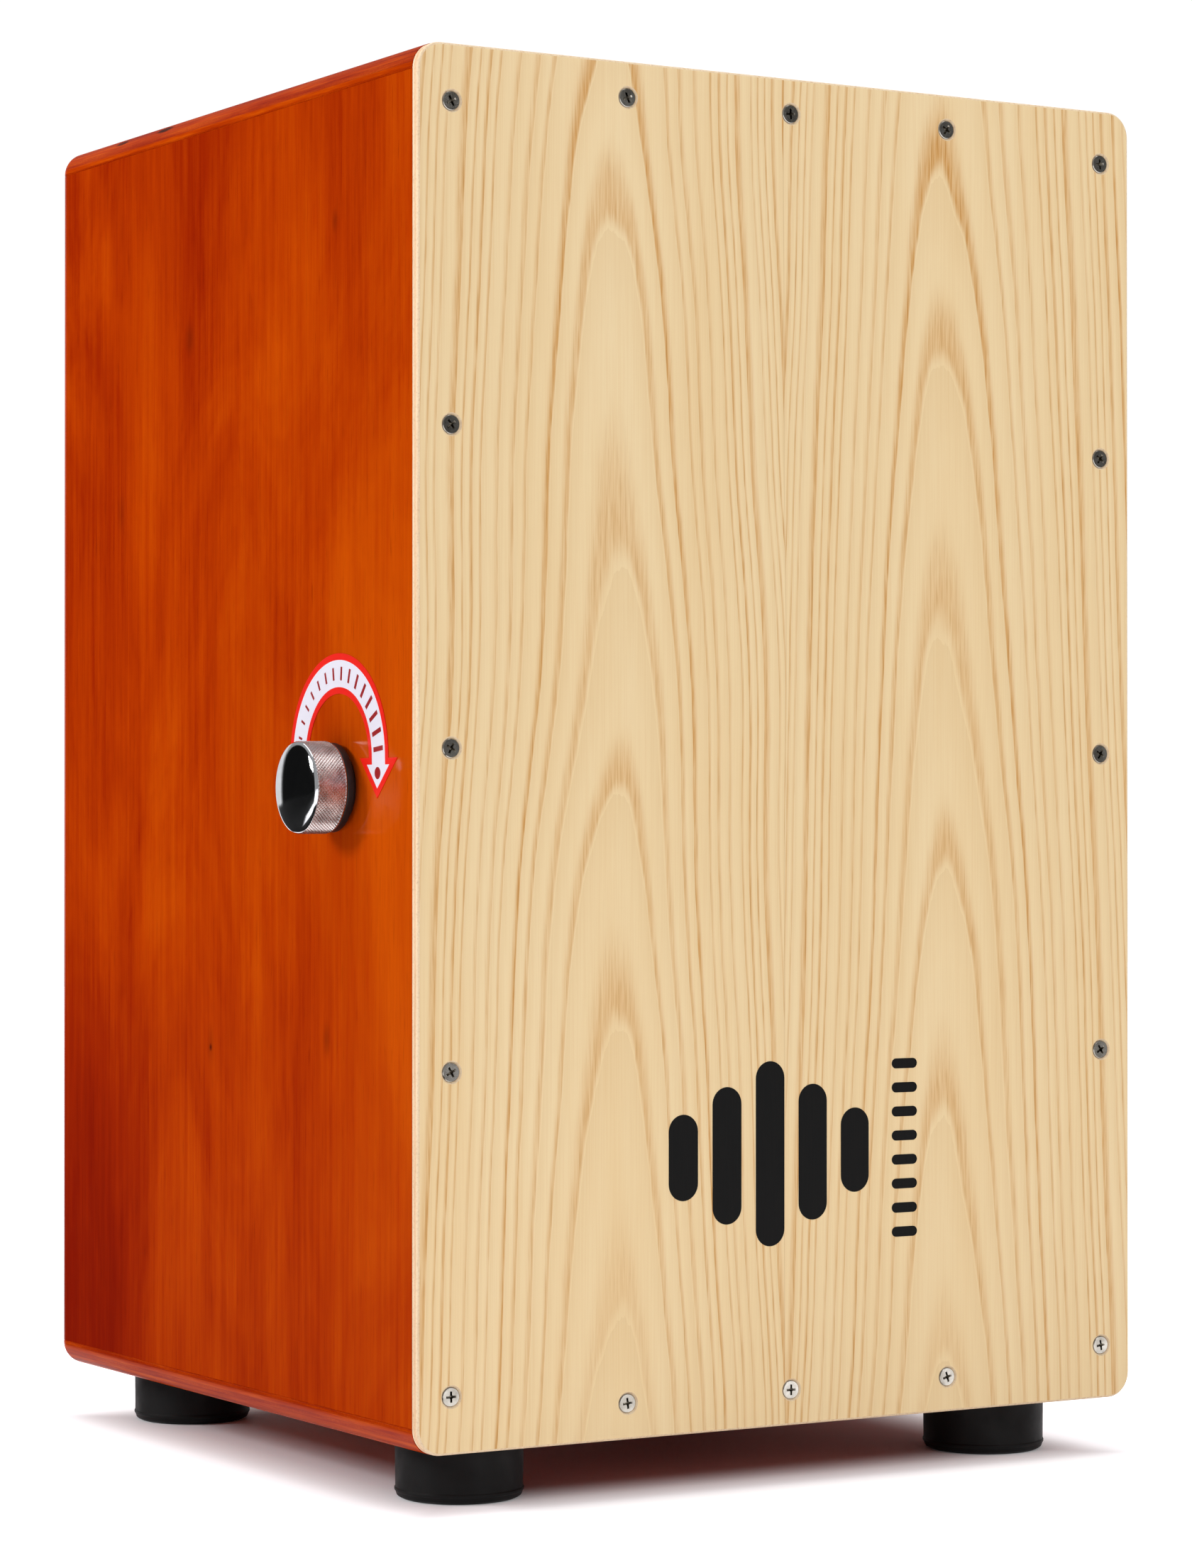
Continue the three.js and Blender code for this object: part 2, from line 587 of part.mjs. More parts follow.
// One snare: a bent steel arm screwed to the bar, and a set of wires between two end plates.
function snare( side, x ) {

	const half = BAR / 2;
	const back = ARM_FRONT + ARM_THICK;
	const wireScrewZ = half + WIRE_SCREW_RISE;
	const angle = join( [
		slab( [ - ARM_WIDTH / 2, back - 1, half ], [ ARM_WIDTH / 2, ARM_BACK, half + ARM_THICK ] ),
		slab( [ - ARM_WIDTH / 2, ARM_FRONT, half ], [ ARM_WIDTH / 2, back, half + ARM_RISE ] )
	] );
	const arm = cut( angle, [
		rod( Z, SCREW_SHANK_RADIUS + GAP, half - 1, half + ARM_THICK + 1 ),
		rod( Y, WIRE_SCREW_RADIUS + GAP, ARM_FRONT - 1, back + 1 ).translate( 0, 0, wireScrewZ )
	] );
	const armScrew = [
		[ 0, half - ARM_SCREW_DEEP ],
		[ SCREW_SHANK_RADIUS, half - ARM_SCREW_DEEP + 2.5 ],
		[ SCREW_SHANK_RADIUS, half + ARM_THICK ],
		[ PAN_HEAD[ 0 ], half + ARM_THICK ],
		[ PAN_HEAD[ 1 ], half + ARM_THICK + PAN_HEAD[ 2 ] ],
		[ 0, half + ARM_THICK + PAN_HEAD[ 2 ] ]
	];
	const wireScrew = [
		[ 0, ARM_FRONT - WIRE_PLATE ],
		[ WIRE_SCREW_RADIUS, ARM_FRONT - WIRE_PLATE ],
		[ WIRE_SCREW_RADIUS, back ],
		[ WIRE_HEAD[ 0 ], back ],
		[ WIRE_HEAD[ 1 ], back + WIRE_HEAD[ 2 ] ],
		[ 0, back + WIRE_HEAD[ 2 ] ]
	];
	const plateHalf = WIRE_COUNT * WIRE_PITCH / 2 + 1;
	const wirePlateFront = ARM_FRONT - WIRE_PLATE;
	const strands = [];
	for ( let i = 0; i < WIRE_COUNT; i ++ ) {

		const strandX = ( i - ( WIRE_COUNT - 1 ) / 2 ) * WIRE_PITCH;
		strands.push( rod( Z, WIRE_RADIUS, WIRE_LOW + WIRE_START, WIRE_HIGH, 8 ).translate( strandX, WIRE_CENTRE, 0 ) );

	}

	const wires = join( [
		slab( [ - plateHalf, wirePlateFront, WIRE_LOW ], [ plateHalf, ARM_FRONT, WIRE_LOW + WIRE_PLATE_LOW ] ),
		slab( [ - plateHalf, wirePlateFront, WIRE_HIGH - WIRE_PLATE_HIGH ], [ plateHalf, ARM_FRONT, WIRE_HIGH ] ),
		...strands
	] );
	const threaded = cut( wires, [ rod( Y, WIRE_SCREW_RADIUS + GAP, ARM_FRONT - 2, ARM_FRONT + 1 ).translate( 0, 0, wireScrewZ ) ] );
	const pieces = [
		mesh( `snare_arm_${ side }`, arm, STEEL ),
		mesh( `snare_wires_${ side }`, threaded, NICKEL ),
		mesh( `arm_screw_${ side }`, pointed( turned( armScrew, SMALL_ROUND ), Z ), NICKEL ),
		mesh( `wire_screw_${ side }`, turned( wireScrew, SMALL_ROUND ).translate( 0, 0, wireScrewZ ), NICKEL )
	];
	for ( const piece of pieces ) piece.position.x = x;
	return pieces;

}

// Everything that turns with the knob, about the snare axis.
function snareRotor() {

	const rotor = new THREE.Group();
	rotor.position.set( 0, AXIS_Y, AXIS_Z );
	rotor.add( ...knob(), ...crossBar(), ...snare( 'left', - ARM_OFFSET ), ...snare( 'right', ARM_OFFSET ) );
	return rotor;

}

const drum = new THREE.Group();
drum.add( ...shell(), backPanel(), frontPlate(), ...battens() );
drum.add( ...screwPlaces().map( ( [ name, x, z ] ) => frontScrew( name, x, z ) ) );
drum.add( ...footPlaces().flatMap( ( [ place, x, y ] ) => foot( place, x, y ) ) );
drum.add( arrowLabel(), ...snareBearings(), snareRotor() );
drum.position.x = KNOB_REACH / 2;

const group = new THREE.Group();
group.add( drum );

export default group;
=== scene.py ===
import math

import bmesh
import bpy
from mathutils import Euler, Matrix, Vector


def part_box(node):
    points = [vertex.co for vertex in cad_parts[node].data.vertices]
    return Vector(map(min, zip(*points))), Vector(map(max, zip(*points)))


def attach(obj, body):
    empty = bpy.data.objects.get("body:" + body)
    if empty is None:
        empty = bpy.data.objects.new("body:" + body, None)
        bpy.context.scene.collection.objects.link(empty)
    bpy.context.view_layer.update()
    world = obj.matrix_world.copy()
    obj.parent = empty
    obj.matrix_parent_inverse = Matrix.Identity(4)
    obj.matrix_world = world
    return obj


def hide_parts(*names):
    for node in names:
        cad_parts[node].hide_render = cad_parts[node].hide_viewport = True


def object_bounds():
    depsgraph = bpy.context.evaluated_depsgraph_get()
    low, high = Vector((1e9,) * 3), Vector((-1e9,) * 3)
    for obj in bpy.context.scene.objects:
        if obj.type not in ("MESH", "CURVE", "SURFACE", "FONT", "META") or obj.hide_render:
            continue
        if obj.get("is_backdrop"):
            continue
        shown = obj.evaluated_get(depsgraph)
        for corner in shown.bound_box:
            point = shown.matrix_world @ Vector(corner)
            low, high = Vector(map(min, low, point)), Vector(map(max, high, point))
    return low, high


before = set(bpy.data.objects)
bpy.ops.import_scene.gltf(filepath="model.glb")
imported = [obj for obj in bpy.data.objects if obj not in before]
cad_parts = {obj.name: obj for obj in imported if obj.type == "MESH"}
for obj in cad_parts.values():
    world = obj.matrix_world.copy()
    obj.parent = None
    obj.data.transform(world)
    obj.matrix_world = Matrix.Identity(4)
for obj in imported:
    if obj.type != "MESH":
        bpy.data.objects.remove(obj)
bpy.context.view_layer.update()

# ---------------------------------------------------------------------------------------------------------
# Shell: four 9 mm plywood panels, the top and bottom running over the ends of the sides. Glued, then rounded
# over on the outside as one body, stained a reddish orange and sprayed with gloss lacquer. Raw inside.

MM = 0.001
round_over = 8.5 * MM
round_steps = 14
corner_steps = 12
seam = 0.22 * MM          # the fine V where two panels meet
support = 0.6 * MM        # a strip of flat beside each rounding, so that the big faces shade flat
flat_enough = 0.86        # a rounded face that leans less than this still shows the face veneer
same_plane = 0.1 * MM
top_low, top_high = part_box("top_panel")
bottom_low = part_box("bottom_panel")[0]
left_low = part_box("left_side_panel")[0]
shell_middle_x = (top_low.x + top_high.x) / 2


def srgb(red, green, blue):
    """A screen colour, 0 to 255, as the linear colour that a shader takes."""
    linear = [((c / 255 + 0.055) / 1.055) ** 2.4 if c > 10 else c / 255 / 12.92 for c in (red, green, blue)]
    return (*linear, 1.0)


def add(tree, kind, inputs=None, **settings):
    """A new node. An input is a plain value, or another node's output to link it to."""
    node = tree.nodes.new(kind)
    for name, value in settings.items():
        setattr(node, name, value)
    for key, value in (inputs or {}).items():
        if isinstance(value, bpy.types.NodeSocket):
            tree.links.new(value, node.inputs[key])
        else:
            node.inputs[key].default_value = value
    return node


def calc(tree, operation, *values):
    return add(tree, "ShaderNodeMath", dict(enumerate(values)), operation=operation).outputs[0]


def product(tree, first, second):
    return calc(tree, "MULTIPLY", first, second)


def plus_scaled(tree, base, value, scale):
    """The base and a value times a scale."""
    return calc(tree, "MULTIPLY_ADD", value, scale, base)


def vector_calc(tree, operation, *vectors):
    """A vector, or a plain number where the operation is a dot product or a length."""
    node = add(tree, "ShaderNodeVectorMath", dict(enumerate(vectors)), operation=operation)
    return node.outputs["Value" if operation in ("DOT_PRODUCT", "LENGTH") else "Vector"]


def remap(tree, value, low, high, to_low=0.0, to_high=1.0, smooth=False):
    inputs = {"Value": value, "From Min": low, "From Max": high, "To Min": to_low, "To Max": to_high}
    kind = "SMOOTHSTEP" if smooth else "LINEAR"
    return add(tree, "ShaderNodeMapRange", inputs, interpolation_type=kind).outputs[0]


def blend_colour(tree, factor, first, second, mode="MIX"):
    inputs = {0: factor, 6: first, 7: second}
    return add(tree, "ShaderNodeMix", inputs, data_type="RGBA", blend_type=mode).outputs[2]


def place(tree):
    """The point being shaded, in the drum's own frame, in metres."""
    return add(tree, "ShaderNodeTexCoord").outputs["Object"]


def place_parts(tree):
    """The same point as three numbers."""
    return add(tree, "ShaderNodeSeparateXYZ", {0: place(tree)}).outputs


def stretched(tree, grain, across, along):
    """The place scaled for a pattern that runs with the grain: repeats per metre across it and along it."""
    scale = [along if axis == grain else across for axis in "XYZ"]
    return add(tree, "ShaderNodeMapping", {"Vector": place(tree), "Scale": scale}).outputs[0]


def noise(tree, vector, detail=2.0, roughness=0.5, distortion=0.0, scale=1.0):
    """Cloudy noise about 0.5; a plain place takes its fineness from the scale, in repeats per metre."""
    inputs = {"Vector": vector, "Scale": scale, "Detail": detail,
              "Roughness": roughness, "Distortion": distortion}
    return add(tree, "ShaderNodeTexNoise", inputs).outputs[0]


def bump(tree, height, distance, strength=1.0):
    inputs = {"Height": height, "Distance": distance, "Strength": strength}
    return add(tree, "ShaderNodeBump", inputs).outputs[0]


def ramp(tree, factor, stops):
    """Colours in turn along a value: (position, colour)."""
    node = add(tree, "ShaderNodeValToRGB", {"Fac": factor})
    elements = node.color_ramp.elements
    while len(elements) < len(stops):
        elements.new(0.5)
    for element, (position, colour) in zip(elements, stops):
        element.position = position
        element.color = colour
    return node.outputs[0]


def new_material(name):
    """A material with its tree and the one shader that the tree ends in."""
    material = bpy.data.materials.new(name)
    material.use_nodes = True
    tree = material.node_tree
    tree.nodes.clear()
    shader = add(tree, "ShaderNodeBsdfPrincipled")
    add(tree, "ShaderNodeOutputMaterial", {"Surface": shader.outputs[0]})
    return material, tree, shader


def wire(tree, shader, **inputs):
    """Sets or links the shader's inputs, which are named with _ for a space."""
    for name, value in inputs.items():
        socket = shader.inputs[name.replace("_", " ")]
        if isinstance(value, bpy.types.NodeSocket):
            tree.links.new(value, socket)
        else:
            socket.default_value = value


def spot(tree, centre, size):
    """1 at a point, falling to 0 at an ellipsoid of that size about it."""
    scaled = vector_calc(tree, "DIVIDE", vector_calc(tree, "SUBTRACT", place(tree), centre), size)
    return remap(tree, vector_calc(tree, "LENGTH", scaled), 0.0, 1.0, 1.0, 0.0, smooth=True)


stain_darkest = srgb(128, 20, 1)
stain_deep = srgb(150, 35, 1)
stain_mid = srgb(175, 56, 1)
stain_bright = srgb(196, 78, 3)
pool_and_shade_strength = 0.12


def stain_pool_and_shade(tree):
    """Darker towards the foot and the back edge of the sides, where the stain lies deeper; darker towards the
    head as painted shade, for a top that the lamps light too brightly; and lighter in front.
    """
    parts = place_parts(tree)
    foot = remap(tree, parts[2], bottom_low.z, bottom_low.z + 230 * MM, 1.0, 0.0, smooth=True)
    # painted shade: darker towards the head, to tone down a top that the lamps light too brightly
    head = remap(tree, parts[2], top_high.z - 190 * MM, top_high.z, 0.0, 0.5, smooth=True)
    back = remap(tree, parts[1], top_high.y - 130 * MM, top_high.y, smooth=True)
    front = remap(tree, parts[1], top_low.y, top_low.y + 80 * MM, -0.75, 0.0, smooth=True)
    ends = calc(tree, "ADD", product(tree, foot, calc(tree, "ADD", back, 0.4)), head)
    edges = plus_scaled(tree, front, back, 0.3)
    return product(tree, calc(tree, "ADD", ends, edges), pool_and_shade_strength)


def stained_veneer(name, grain, marks=(), pool_and_shade=False):
    """Veneer under reddish orange stain and gloss lacquer. Marks are knots: (centre, size, darkness)."""
    material, tree, shader = new_material(name)
    cloud = noise(tree, stretched(tree, grain, 15, 6), detail=4, roughness=0.6, distortion=0.8)
    streak = noise(tree, stretched(tree, grain, 300, 8), detail=4, roughness=0.6, distortion=0.2)
    fibre = noise(tree, stretched(tree, grain, 1100, 34), detail=4, roughness=0.7)
    pores = noise(tree, stretched(tree, grain, 2300, 75), detail=1)
    tone = plus_scaled(tree, product(tree, cloud, 0.48), streak, 0.22)
    tone = plus_scaled(tree, tone, fibre, 0.3)
    # stain lies deeper towards the foot and back, painted shade darkens the head, and the front is lighter
    if pool_and_shade:
        tone = calc(tree, "SUBTRACT", tone, stain_pool_and_shade(tree))
    colour = ramp(tree, tone, [
        (0.26, stain_darkest), (0.38, stain_deep), (0.49, stain_mid), (0.63, stain_bright)])
    shadow = remap(tree, fibre, 0.42, 0.74, 0.0, 0.38)
    colour = blend_colour(tree, shadow, colour, srgb(196, 120, 90), "MULTIPLY")
    dash = remap(tree, pores, 0.64, 0.76, 0.0, 0.35)
    colour = blend_colour(tree, dash, colour, srgb(150, 90, 70), "MULTIPLY")
    for centre, size, darkness in marks:
        mask = product(tree, spot(tree, centre, size), darkness)
        colour = blend_colour(tree, mask, colour, srgb(70, 14, 4))
    relief = plus_scaled(tree, product(tree, streak, 0.8), fibre, 0.5)
    orange_peel = noise(tree, place(tree), detail=1, scale=260)
    relief = plus_scaled(tree, relief, orange_peel, 0.35)
    gloss = remap(tree, noise(tree, place(tree), detail=3, scale=30), 0.3, 0.7, 0.27, 0.36)
    wire(tree, shader, Base_Color=colour, Roughness=gloss, Normal=bump(tree, relief, 0.05 * MM, 0.55),
         Coat_Weight=0.34, Coat_Roughness=0.11, Specular_IOR_Level=0.0)
    return material


def stained_ply_edge(name, layers, grain, voids=()):
    """Round-over and end faces, where the stain soaks into plies that run two ways in turn. Voids are gaps
    in the core that the round-over has opened: (centre, size, darkness)."""
    material, tree, shader = new_material(name)
    level = place_parts(tree)["XYZ".index(layers)]
    wobble = noise(tree, stretched(tree, grain, 60, 6), detail=2)
    depth = plus_scaled(tree, level, wobble, 0.35 * MM)
    two_plies = 3.6 * MM
    ply = calc(tree, "FRACT", calc(tree, "DIVIDE", depth, two_plies))
    dark_ply = calc(tree, "LESS_THAN", ply, 0.5)
    through_ply = calc(tree, "FRACT", product(tree, ply, 2.0))
    from_middle = calc(tree, "ABSOLUTE", calc(tree, "SUBTRACT", through_ply, 0.5))
    glue_line = remap(tree, from_middle, 0.44, 0.5)
    fibre = noise(tree, stretched(tree, grain, 500, 22), detail=4, roughness=0.65)
    speckle = noise(tree, place(tree), detail=3, scale=1500)
    colour = ramp(tree, fibre, [(0.3, stain_deep), (0.5, stain_mid), (0.7, stain_bright)])
    end_grain = product(tree, dark_ply, remap(tree, speckle, 0.35, 0.65, 0.15, 0.5))
    colour = blend_colour(tree, end_grain, colour, srgb(200, 140, 110), "MULTIPLY")
    broken = product(tree, glue_line, remap(tree, wobble, 0.4, 0.62, 0.2, 0.75))
    colour = blend_colour(tree, broken, colour, srgb(96, 28, 8))
    relief = plus_scaled(tree, fibre, end_grain, -0.6)
    for centre, size, darkness in voids:
        ragged = product(tree, spot(tree, centre, size), remap(tree, speckle, 0.3, 0.6, 1.2, 3.0))
        mask = product(tree, calc(tree, "MINIMUM", ragged, 1.0), darkness)
        colour = blend_colour(tree, mask, colour, srgb(44, 14, 6))
        relief = plus_scaled(tree, relief, mask, -1.5)
    wire(tree, shader, Base_Color=colour, Roughness=0.36, Normal=bump(tree, relief, 0.06 * MM, 0.5),
         Coat_Weight=0.2, Coat_Roughness=0.14, Specular_IOR_Level=0.0)
    return material


def raw_veneer(name, grain):
    """Unfinished inner veneer: dry, pale, with fuzzy grain and a few sanding scratches."""
    material, tree, shader = new_material(name)
    bands = noise(tree, stretched(tree, grain, 70, 3), detail=4, roughness=0.6, distortion=0.4)
    fibre = noise(tree, stretched(tree, grain, 1300, 30), detail=3, roughness=0.7)
    tone = plus_scaled(tree, product(tree, fibre, 0.3), bands, 0.7)
    colour = ramp(tree, tone, [(0.36, srgb(190, 150, 104)), (0.62, srgb(222, 190, 146))])
    wire(tree, shader, Base_Color=colour, Roughness=0.8, Normal=bump(tree, fibre, 0.12 * MM, 0.6),
         Specular_IOR_Level=0.25)
    return material


def arc(centre, radius, start, end, steps):
    """Points of an arc in a plane, between two angles in degrees."""
    angles = [math.radians(start + (end - start) * i / steps) for i in range(steps + 1)]
    return [(centre[0] + radius * math.cos(a), centre[1] + radius * math.sin(a)) for a in angles]


def skin(bm, loops, slot=0):
    """Walls from each loop of points to the next. Returns the loops' vertices."""
    rows = [[bm.verts.new(point) for point in loop] for loop in loops]
    for lower, upper in zip(rows, rows[1:]):
        for i in range(len(lower)):
            j = (i + 1) % len(lower)
            bm.faces.new((lower[i], lower[j], upper[j], upper[i])).material_index = slot
    return rows


def cap(bm, row, slot=0):
    bm.faces.new(row).material_index = slot


def slab(bm, loops, slot=0, ends=None):
    """A solid from each loop to the next, closed at its two ends. Returns the loops' vertices."""
    rows = skin(bm, loops, slot)
    for row in (rows[0], rows[-1]):
        cap(bm, row, slot if ends is None else ends)
    return rows


same_point = 1e-6
no_length = 1e-7
sharp_turn = 32.0         # degrees between two faces, beyond which their edge shows


def merge_doubles(bm):
    bmesh.ops.remove_doubles(bm, verts=bm.verts, dist=same_point)


def new_object(name, data):
    made = bpy.data.objects.new(name, data)
    bpy.context.scene.collection.objects.link(made)
    return made


def new_mesh(bm, name, smooth=True):
    """Turns a bmesh whose doubles are merged into a mesh with its faces outwards."""
    bmesh.ops.recalc_face_normals(bm, faces=bm.faces)
    for face in bm.faces:
        face.smooth = smooth
    mesh = bpy.data.meshes.new(name)
    bm.to_mesh(mesh)
    bm.free()
    return mesh


def finish_piece(bm, name, materials, body, slot_name, *nodes, sharp=sharp_turn):
    """Closes a mesh up into a piece that rides on a body and stands for CAD nodes."""
    merge_doubles(bm)
    bmesh.ops.dissolve_degenerate(bm, dist=no_length, edges=bm.edges)
    mesh = new_mesh(bm, name)
    mesh.set_sharp_from_angle(angle=math.radians(sharp))
    piece = new_object(name, mesh)
    for material in materials:
        mesh.materials.append(material)
    return settle(piece, body, slot_name, *nodes)


def settle(piece, body, slot_name, *nodes):
    """Sets the piece on its body and hides the CAD nodes that it stands for. The slot name is not used."""
    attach(piece, body)
    if nodes:
        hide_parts(*nodes)
    return piece


def lid_outline(low, high, inset):
    """A top or bottom panel's outline: a straight front, and two back corners that keep their centres."""
    x0, x1, y0, y1 = low.x + inset, high.x - inset, low.y, high.y
    radius = round_over - inset
    turn_x0, turn_x1, turn_y = low.x + round_over, high.x - round_over, y1 - round_over
    points = [(x0, y0), ((x0 + x1) / 2, y0), (x1, y0), (x1, turn_y - support)]
    points += arc((turn_x1, turn_y), radius, 0, 90, corner_steps)
    points += [(turn_x1 - support, y1 - inset), (turn_x0 + support, y1 - inset)]
    points += arc((turn_x0, turn_y), radius, 90, 180, corner_steps)
    return points + [(x0, turn_y - support)]


def lid(name, node, outer_up, veneer, edge, inside):
    """A panel rounded over on its outer face, which looks up on the top and down on the bottom."""
    low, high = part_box(node)
    sign = 1 if outer_up else -1
    inner_z = low.z if outer_up else high.z
    outer_z = high.z if outer_up else low.z
    levels = [(seam, inner_z), (0.0, inner_z + sign * seam)]
    for i in range(round_steps + 1):
        turn = math.radians(90 * i / round_steps)
        rise = round_over * (1 - math.sin(turn))
        levels.append((round_over * (1 - math.cos(turn)), outer_z - sign * rise))
    bm = bmesh.new()
    rows = skin(bm, [[(x, y, z) for x, y in lid_outline(low, high, inset)] for inset, z in levels], slot=1)
    cap(bm, rows[0], 2)
    cap(bm, rows[-1], 0)
    merge_doubles(bm)
    for face in bm.faces:
        if face.material_index == 1 and abs(face.normal.z) > flat_enough:
            face.material_index = 0
    return finish_piece(bm, name, (veneer, edge, inside), "drum", "stained_ply", node)


def side(name, node, outward, veneer, edge, inside):
    """A side panel: a board with its outer back edge rounded over."""
    low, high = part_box(node)
    outer_x, inner_x = (low.x, high.x) if outward < 0 else (high.x, low.x)

    def outline(inset):
        turn_x, turn_y = outer_x - outward * round_over, high.y - round_over
        points = [(outer_x - outward * inset, low.y), (outer_x - outward * inset, turn_y - support)]
        for x, y in arc((0, 0), round_over - inset, 0, 90, corner_steps):
            points.append((turn_x + outward * x, turn_y + y))
        points.append((inner_x + outward * seam, high.y - inset))
        return points + [(inner_x, high.y - seam), (inner_x, low.y)]

    levels = [(low.z, seam), (low.z + seam, 0.0), (high.z - seam, 0.0), (high.z, seam)]
    bm = bmesh.new()
    slab(bm, [[(x, y, z) for x, y in outline(inset)] for z, inset in levels], ends=2)
    bm.normal_update()
    bmesh.ops.recalc_face_normals(bm, faces=bm.faces)
    for face in bm.faces:
        centre = face.calc_center_median()
        if abs(centre.x - inner_x) < same_plane:
            face.material_index = 2
        elif abs(face.normal.x) < flat_enough and centre.y > low.y + support:
            face.material_index = 1
    return finish_piece(bm, name, (veneer, edge, inside), "drum", "stained_ply", node)


front_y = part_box("front_plate")[0].y
# knots on the left side: from the front, up from the foot, size, darkness
left_knots = [
    (Vector((left_low.x, front_y + back * MM, bottom_low.z + up * MM)), Vector(size) * MM, darkness)
    for back, up, size, darkness in (
        (158, 130, (1.7, 1.7, 2.0), 0.9), (158, 131, (5, 4, 10), 0.25), (176, 391, (5, 6, 9), 0.35),
        (60, 421, (4, 3.5, 6), 0.35), (66, 137, (4, 4, 9), 0.35), (236, 330, (4, 5, 12), 0.22))]
side_veneer = stained_veneer("stained_side_veneer", "Z", pool_and_shade=True)
left_veneer = stained_veneer("stained_left_veneer", "Z", left_knots, pool_and_shade=True)
lid_veneer = stained_veneer("stained_lid_veneer", "Y")
lid_length = top_high.y - top_low.y
# two voids that show on the top's left round-over: share of the way back, size, darkness
edge_voids = [
    (Vector((top_low.x + 2.3 * MM, top_low.y + share * lid_length, top_high.z - 2.5 * MM)),
     Vector(size) * MM, darkness)
    for share, size, darkness in ((0.68, (3, 9, 1.5), 0.9), (0.81, (3, 7, 1.2), 0.8))]
lid_edge = stained_ply_edge("stained_lid_edge", "Z", "Y", edge_voids)
side_edge = stained_ply_edge("stained_side_edge", "X", "Z")
inner_side = raw_veneer("raw_inner_side", "Z")
inner_lid = raw_veneer("raw_inner_lid", "Y")
lid("top_board", "top_panel", True, lid_veneer, lid_edge, inner_lid)
lid("bottom_board", "bottom_panel", False, lid_veneer, lid_edge, inner_lid)
side("left_board", "left_side_panel", -1, left_veneer, side_edge, inner_side)
side("right_board", "right_side_panel", 1, side_veneer, side_edge, inner_side)

# ---------------------------------------------------------------------------------------------------------
# Back panel: 5 mm plywood let in flush between the other four and glued to the back battens. The round
# sound hole is routed through it and its rim is softened before the stain goes on.

back_low, back_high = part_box("back_panel")
sound_hole_radius = 60 * MM
sound_hole_rise = 62.5 * MM
sound_hole_z = (back_low.z + back_high.z) / 2 + sound_hole_rise
hole_sides = 96
hole_rim = 1.4 * MM


def fill(bm, rows, slot=0):
    """A flat face between an outline and the holes in it, each a closed row of vertices."""
    edges = []
    for row in rows:
        for pair in zip(row, row[1:] + row[:1]):
            edges.append(bm.edges.get(pair) or bm.edges.new(pair))
    for item in bmesh.ops.triangle_fill(bm, use_beauty=True, edges=edges)["geom"]:
        if isinstance(item, bmesh.types.BMFace):
            item.material_index = slot


def rectangle(low, high, inset, y):
    x0, x1, z0, z1 = low.x + inset, high.x - inset, low.z + inset, high.z - inset
    return [(x0, y, z0), (x1, y, z0), (x1, y, z1), (x0, y, z1)]


def ring(centre_x, centre_z, radius, y, sides):
    return [(x, y, z) for x, z in arc((centre_x, centre_z), radius, 0, 360, sides)[:-1]]


def softened(radius):
    """A quarter round in steps: how far in from the face's edge, and how far down from the face."""
    angles = [math.radians(degrees) for degrees in range(0, 91, 15)]
    return [(radius * (1 - math.cos(a)), radius * (1 - math.sin(a))) for a in angles]


bm = bmesh.new()
edge_levels = ((0, back_low.y), (0, back_high.y - seam), (seam, back_high.y))
edge_rows = skin(bm, [rectangle(back_low, back_high, inset, y) for inset, y in edge_levels], slot=1)
hole_steps = [(out, into) for into, out in softened(hole_rim)]
hole_levels = [(support + hole_rim, back_low.y)]
hole_levels += [(out, back_low.y + into) for out, into in hole_steps]
hole_levels += [(out, back_high.y - into) for out, into in reversed(hole_steps)]
hole_levels += [(support + hole_rim, back_high.y)]
hole_rows = skin(bm, [ring(shell_middle_x, sound_hole_z, sound_hole_radius + out, y, hole_sides)
                      for out, y in hole_levels], slot=1)
fill(bm, [edge_rows[0], hole_rows[0]], slot=2)
fill(bm, [edge_rows[-1], hole_rows[-1]], slot=0)
back_edge = stained_ply_edge("stained_hole_edge", "Y", "X")
finish_piece(bm, "back_board", (stained_veneer("stained_back_veneer", "Z"), back_edge, inner_side),
             "drum", "stained_ply", "back_panel")

# ---------------------------------------------------------------------------------------------------------
# Battens: planed pine strips glued round the inside of the shell, at the front to take the screws and at the
# back to carry the back panel. Their long edges are eased, and the wood is left bare.

batten_sides = ("left", "right", "bottom", "top")
batten_names = [f"{end}_batten_{side_name}" for end in ("front", "back") for side_name in batten_sides]
batten_ease = 0.8 * MM
ease_steps = 3


def pine(name, grain):
    material, tree, shader = new_material(name)
    rings = add(tree, "ShaderNodeTexWave", {
        "Vector": stretched(tree, grain, 160, 5), "Scale": 1.0, "Distortion": 3.0, "Detail": 2.0,
        "Detail Scale": 0.7}, bands_direction="DIAGONAL").outputs[1]
    fibre = noise(tree, stretched(tree, grain, 1100, 25), detail=3, roughness=0.7)
    tone = plus_scaled(tree, product(tree, fibre, 0.4), rings, 0.6)
    colour = ramp(tree, tone, [(0.2, srgb(232, 202, 152)), (0.85, srgb(204, 160, 102))])
    wire(tree, shader, Base_Color=colour, Roughness=0.75, Normal=bump(tree, fibre, 0.1 * MM, 0.6),
         Specular_IOR_Level=0.25)
    return material


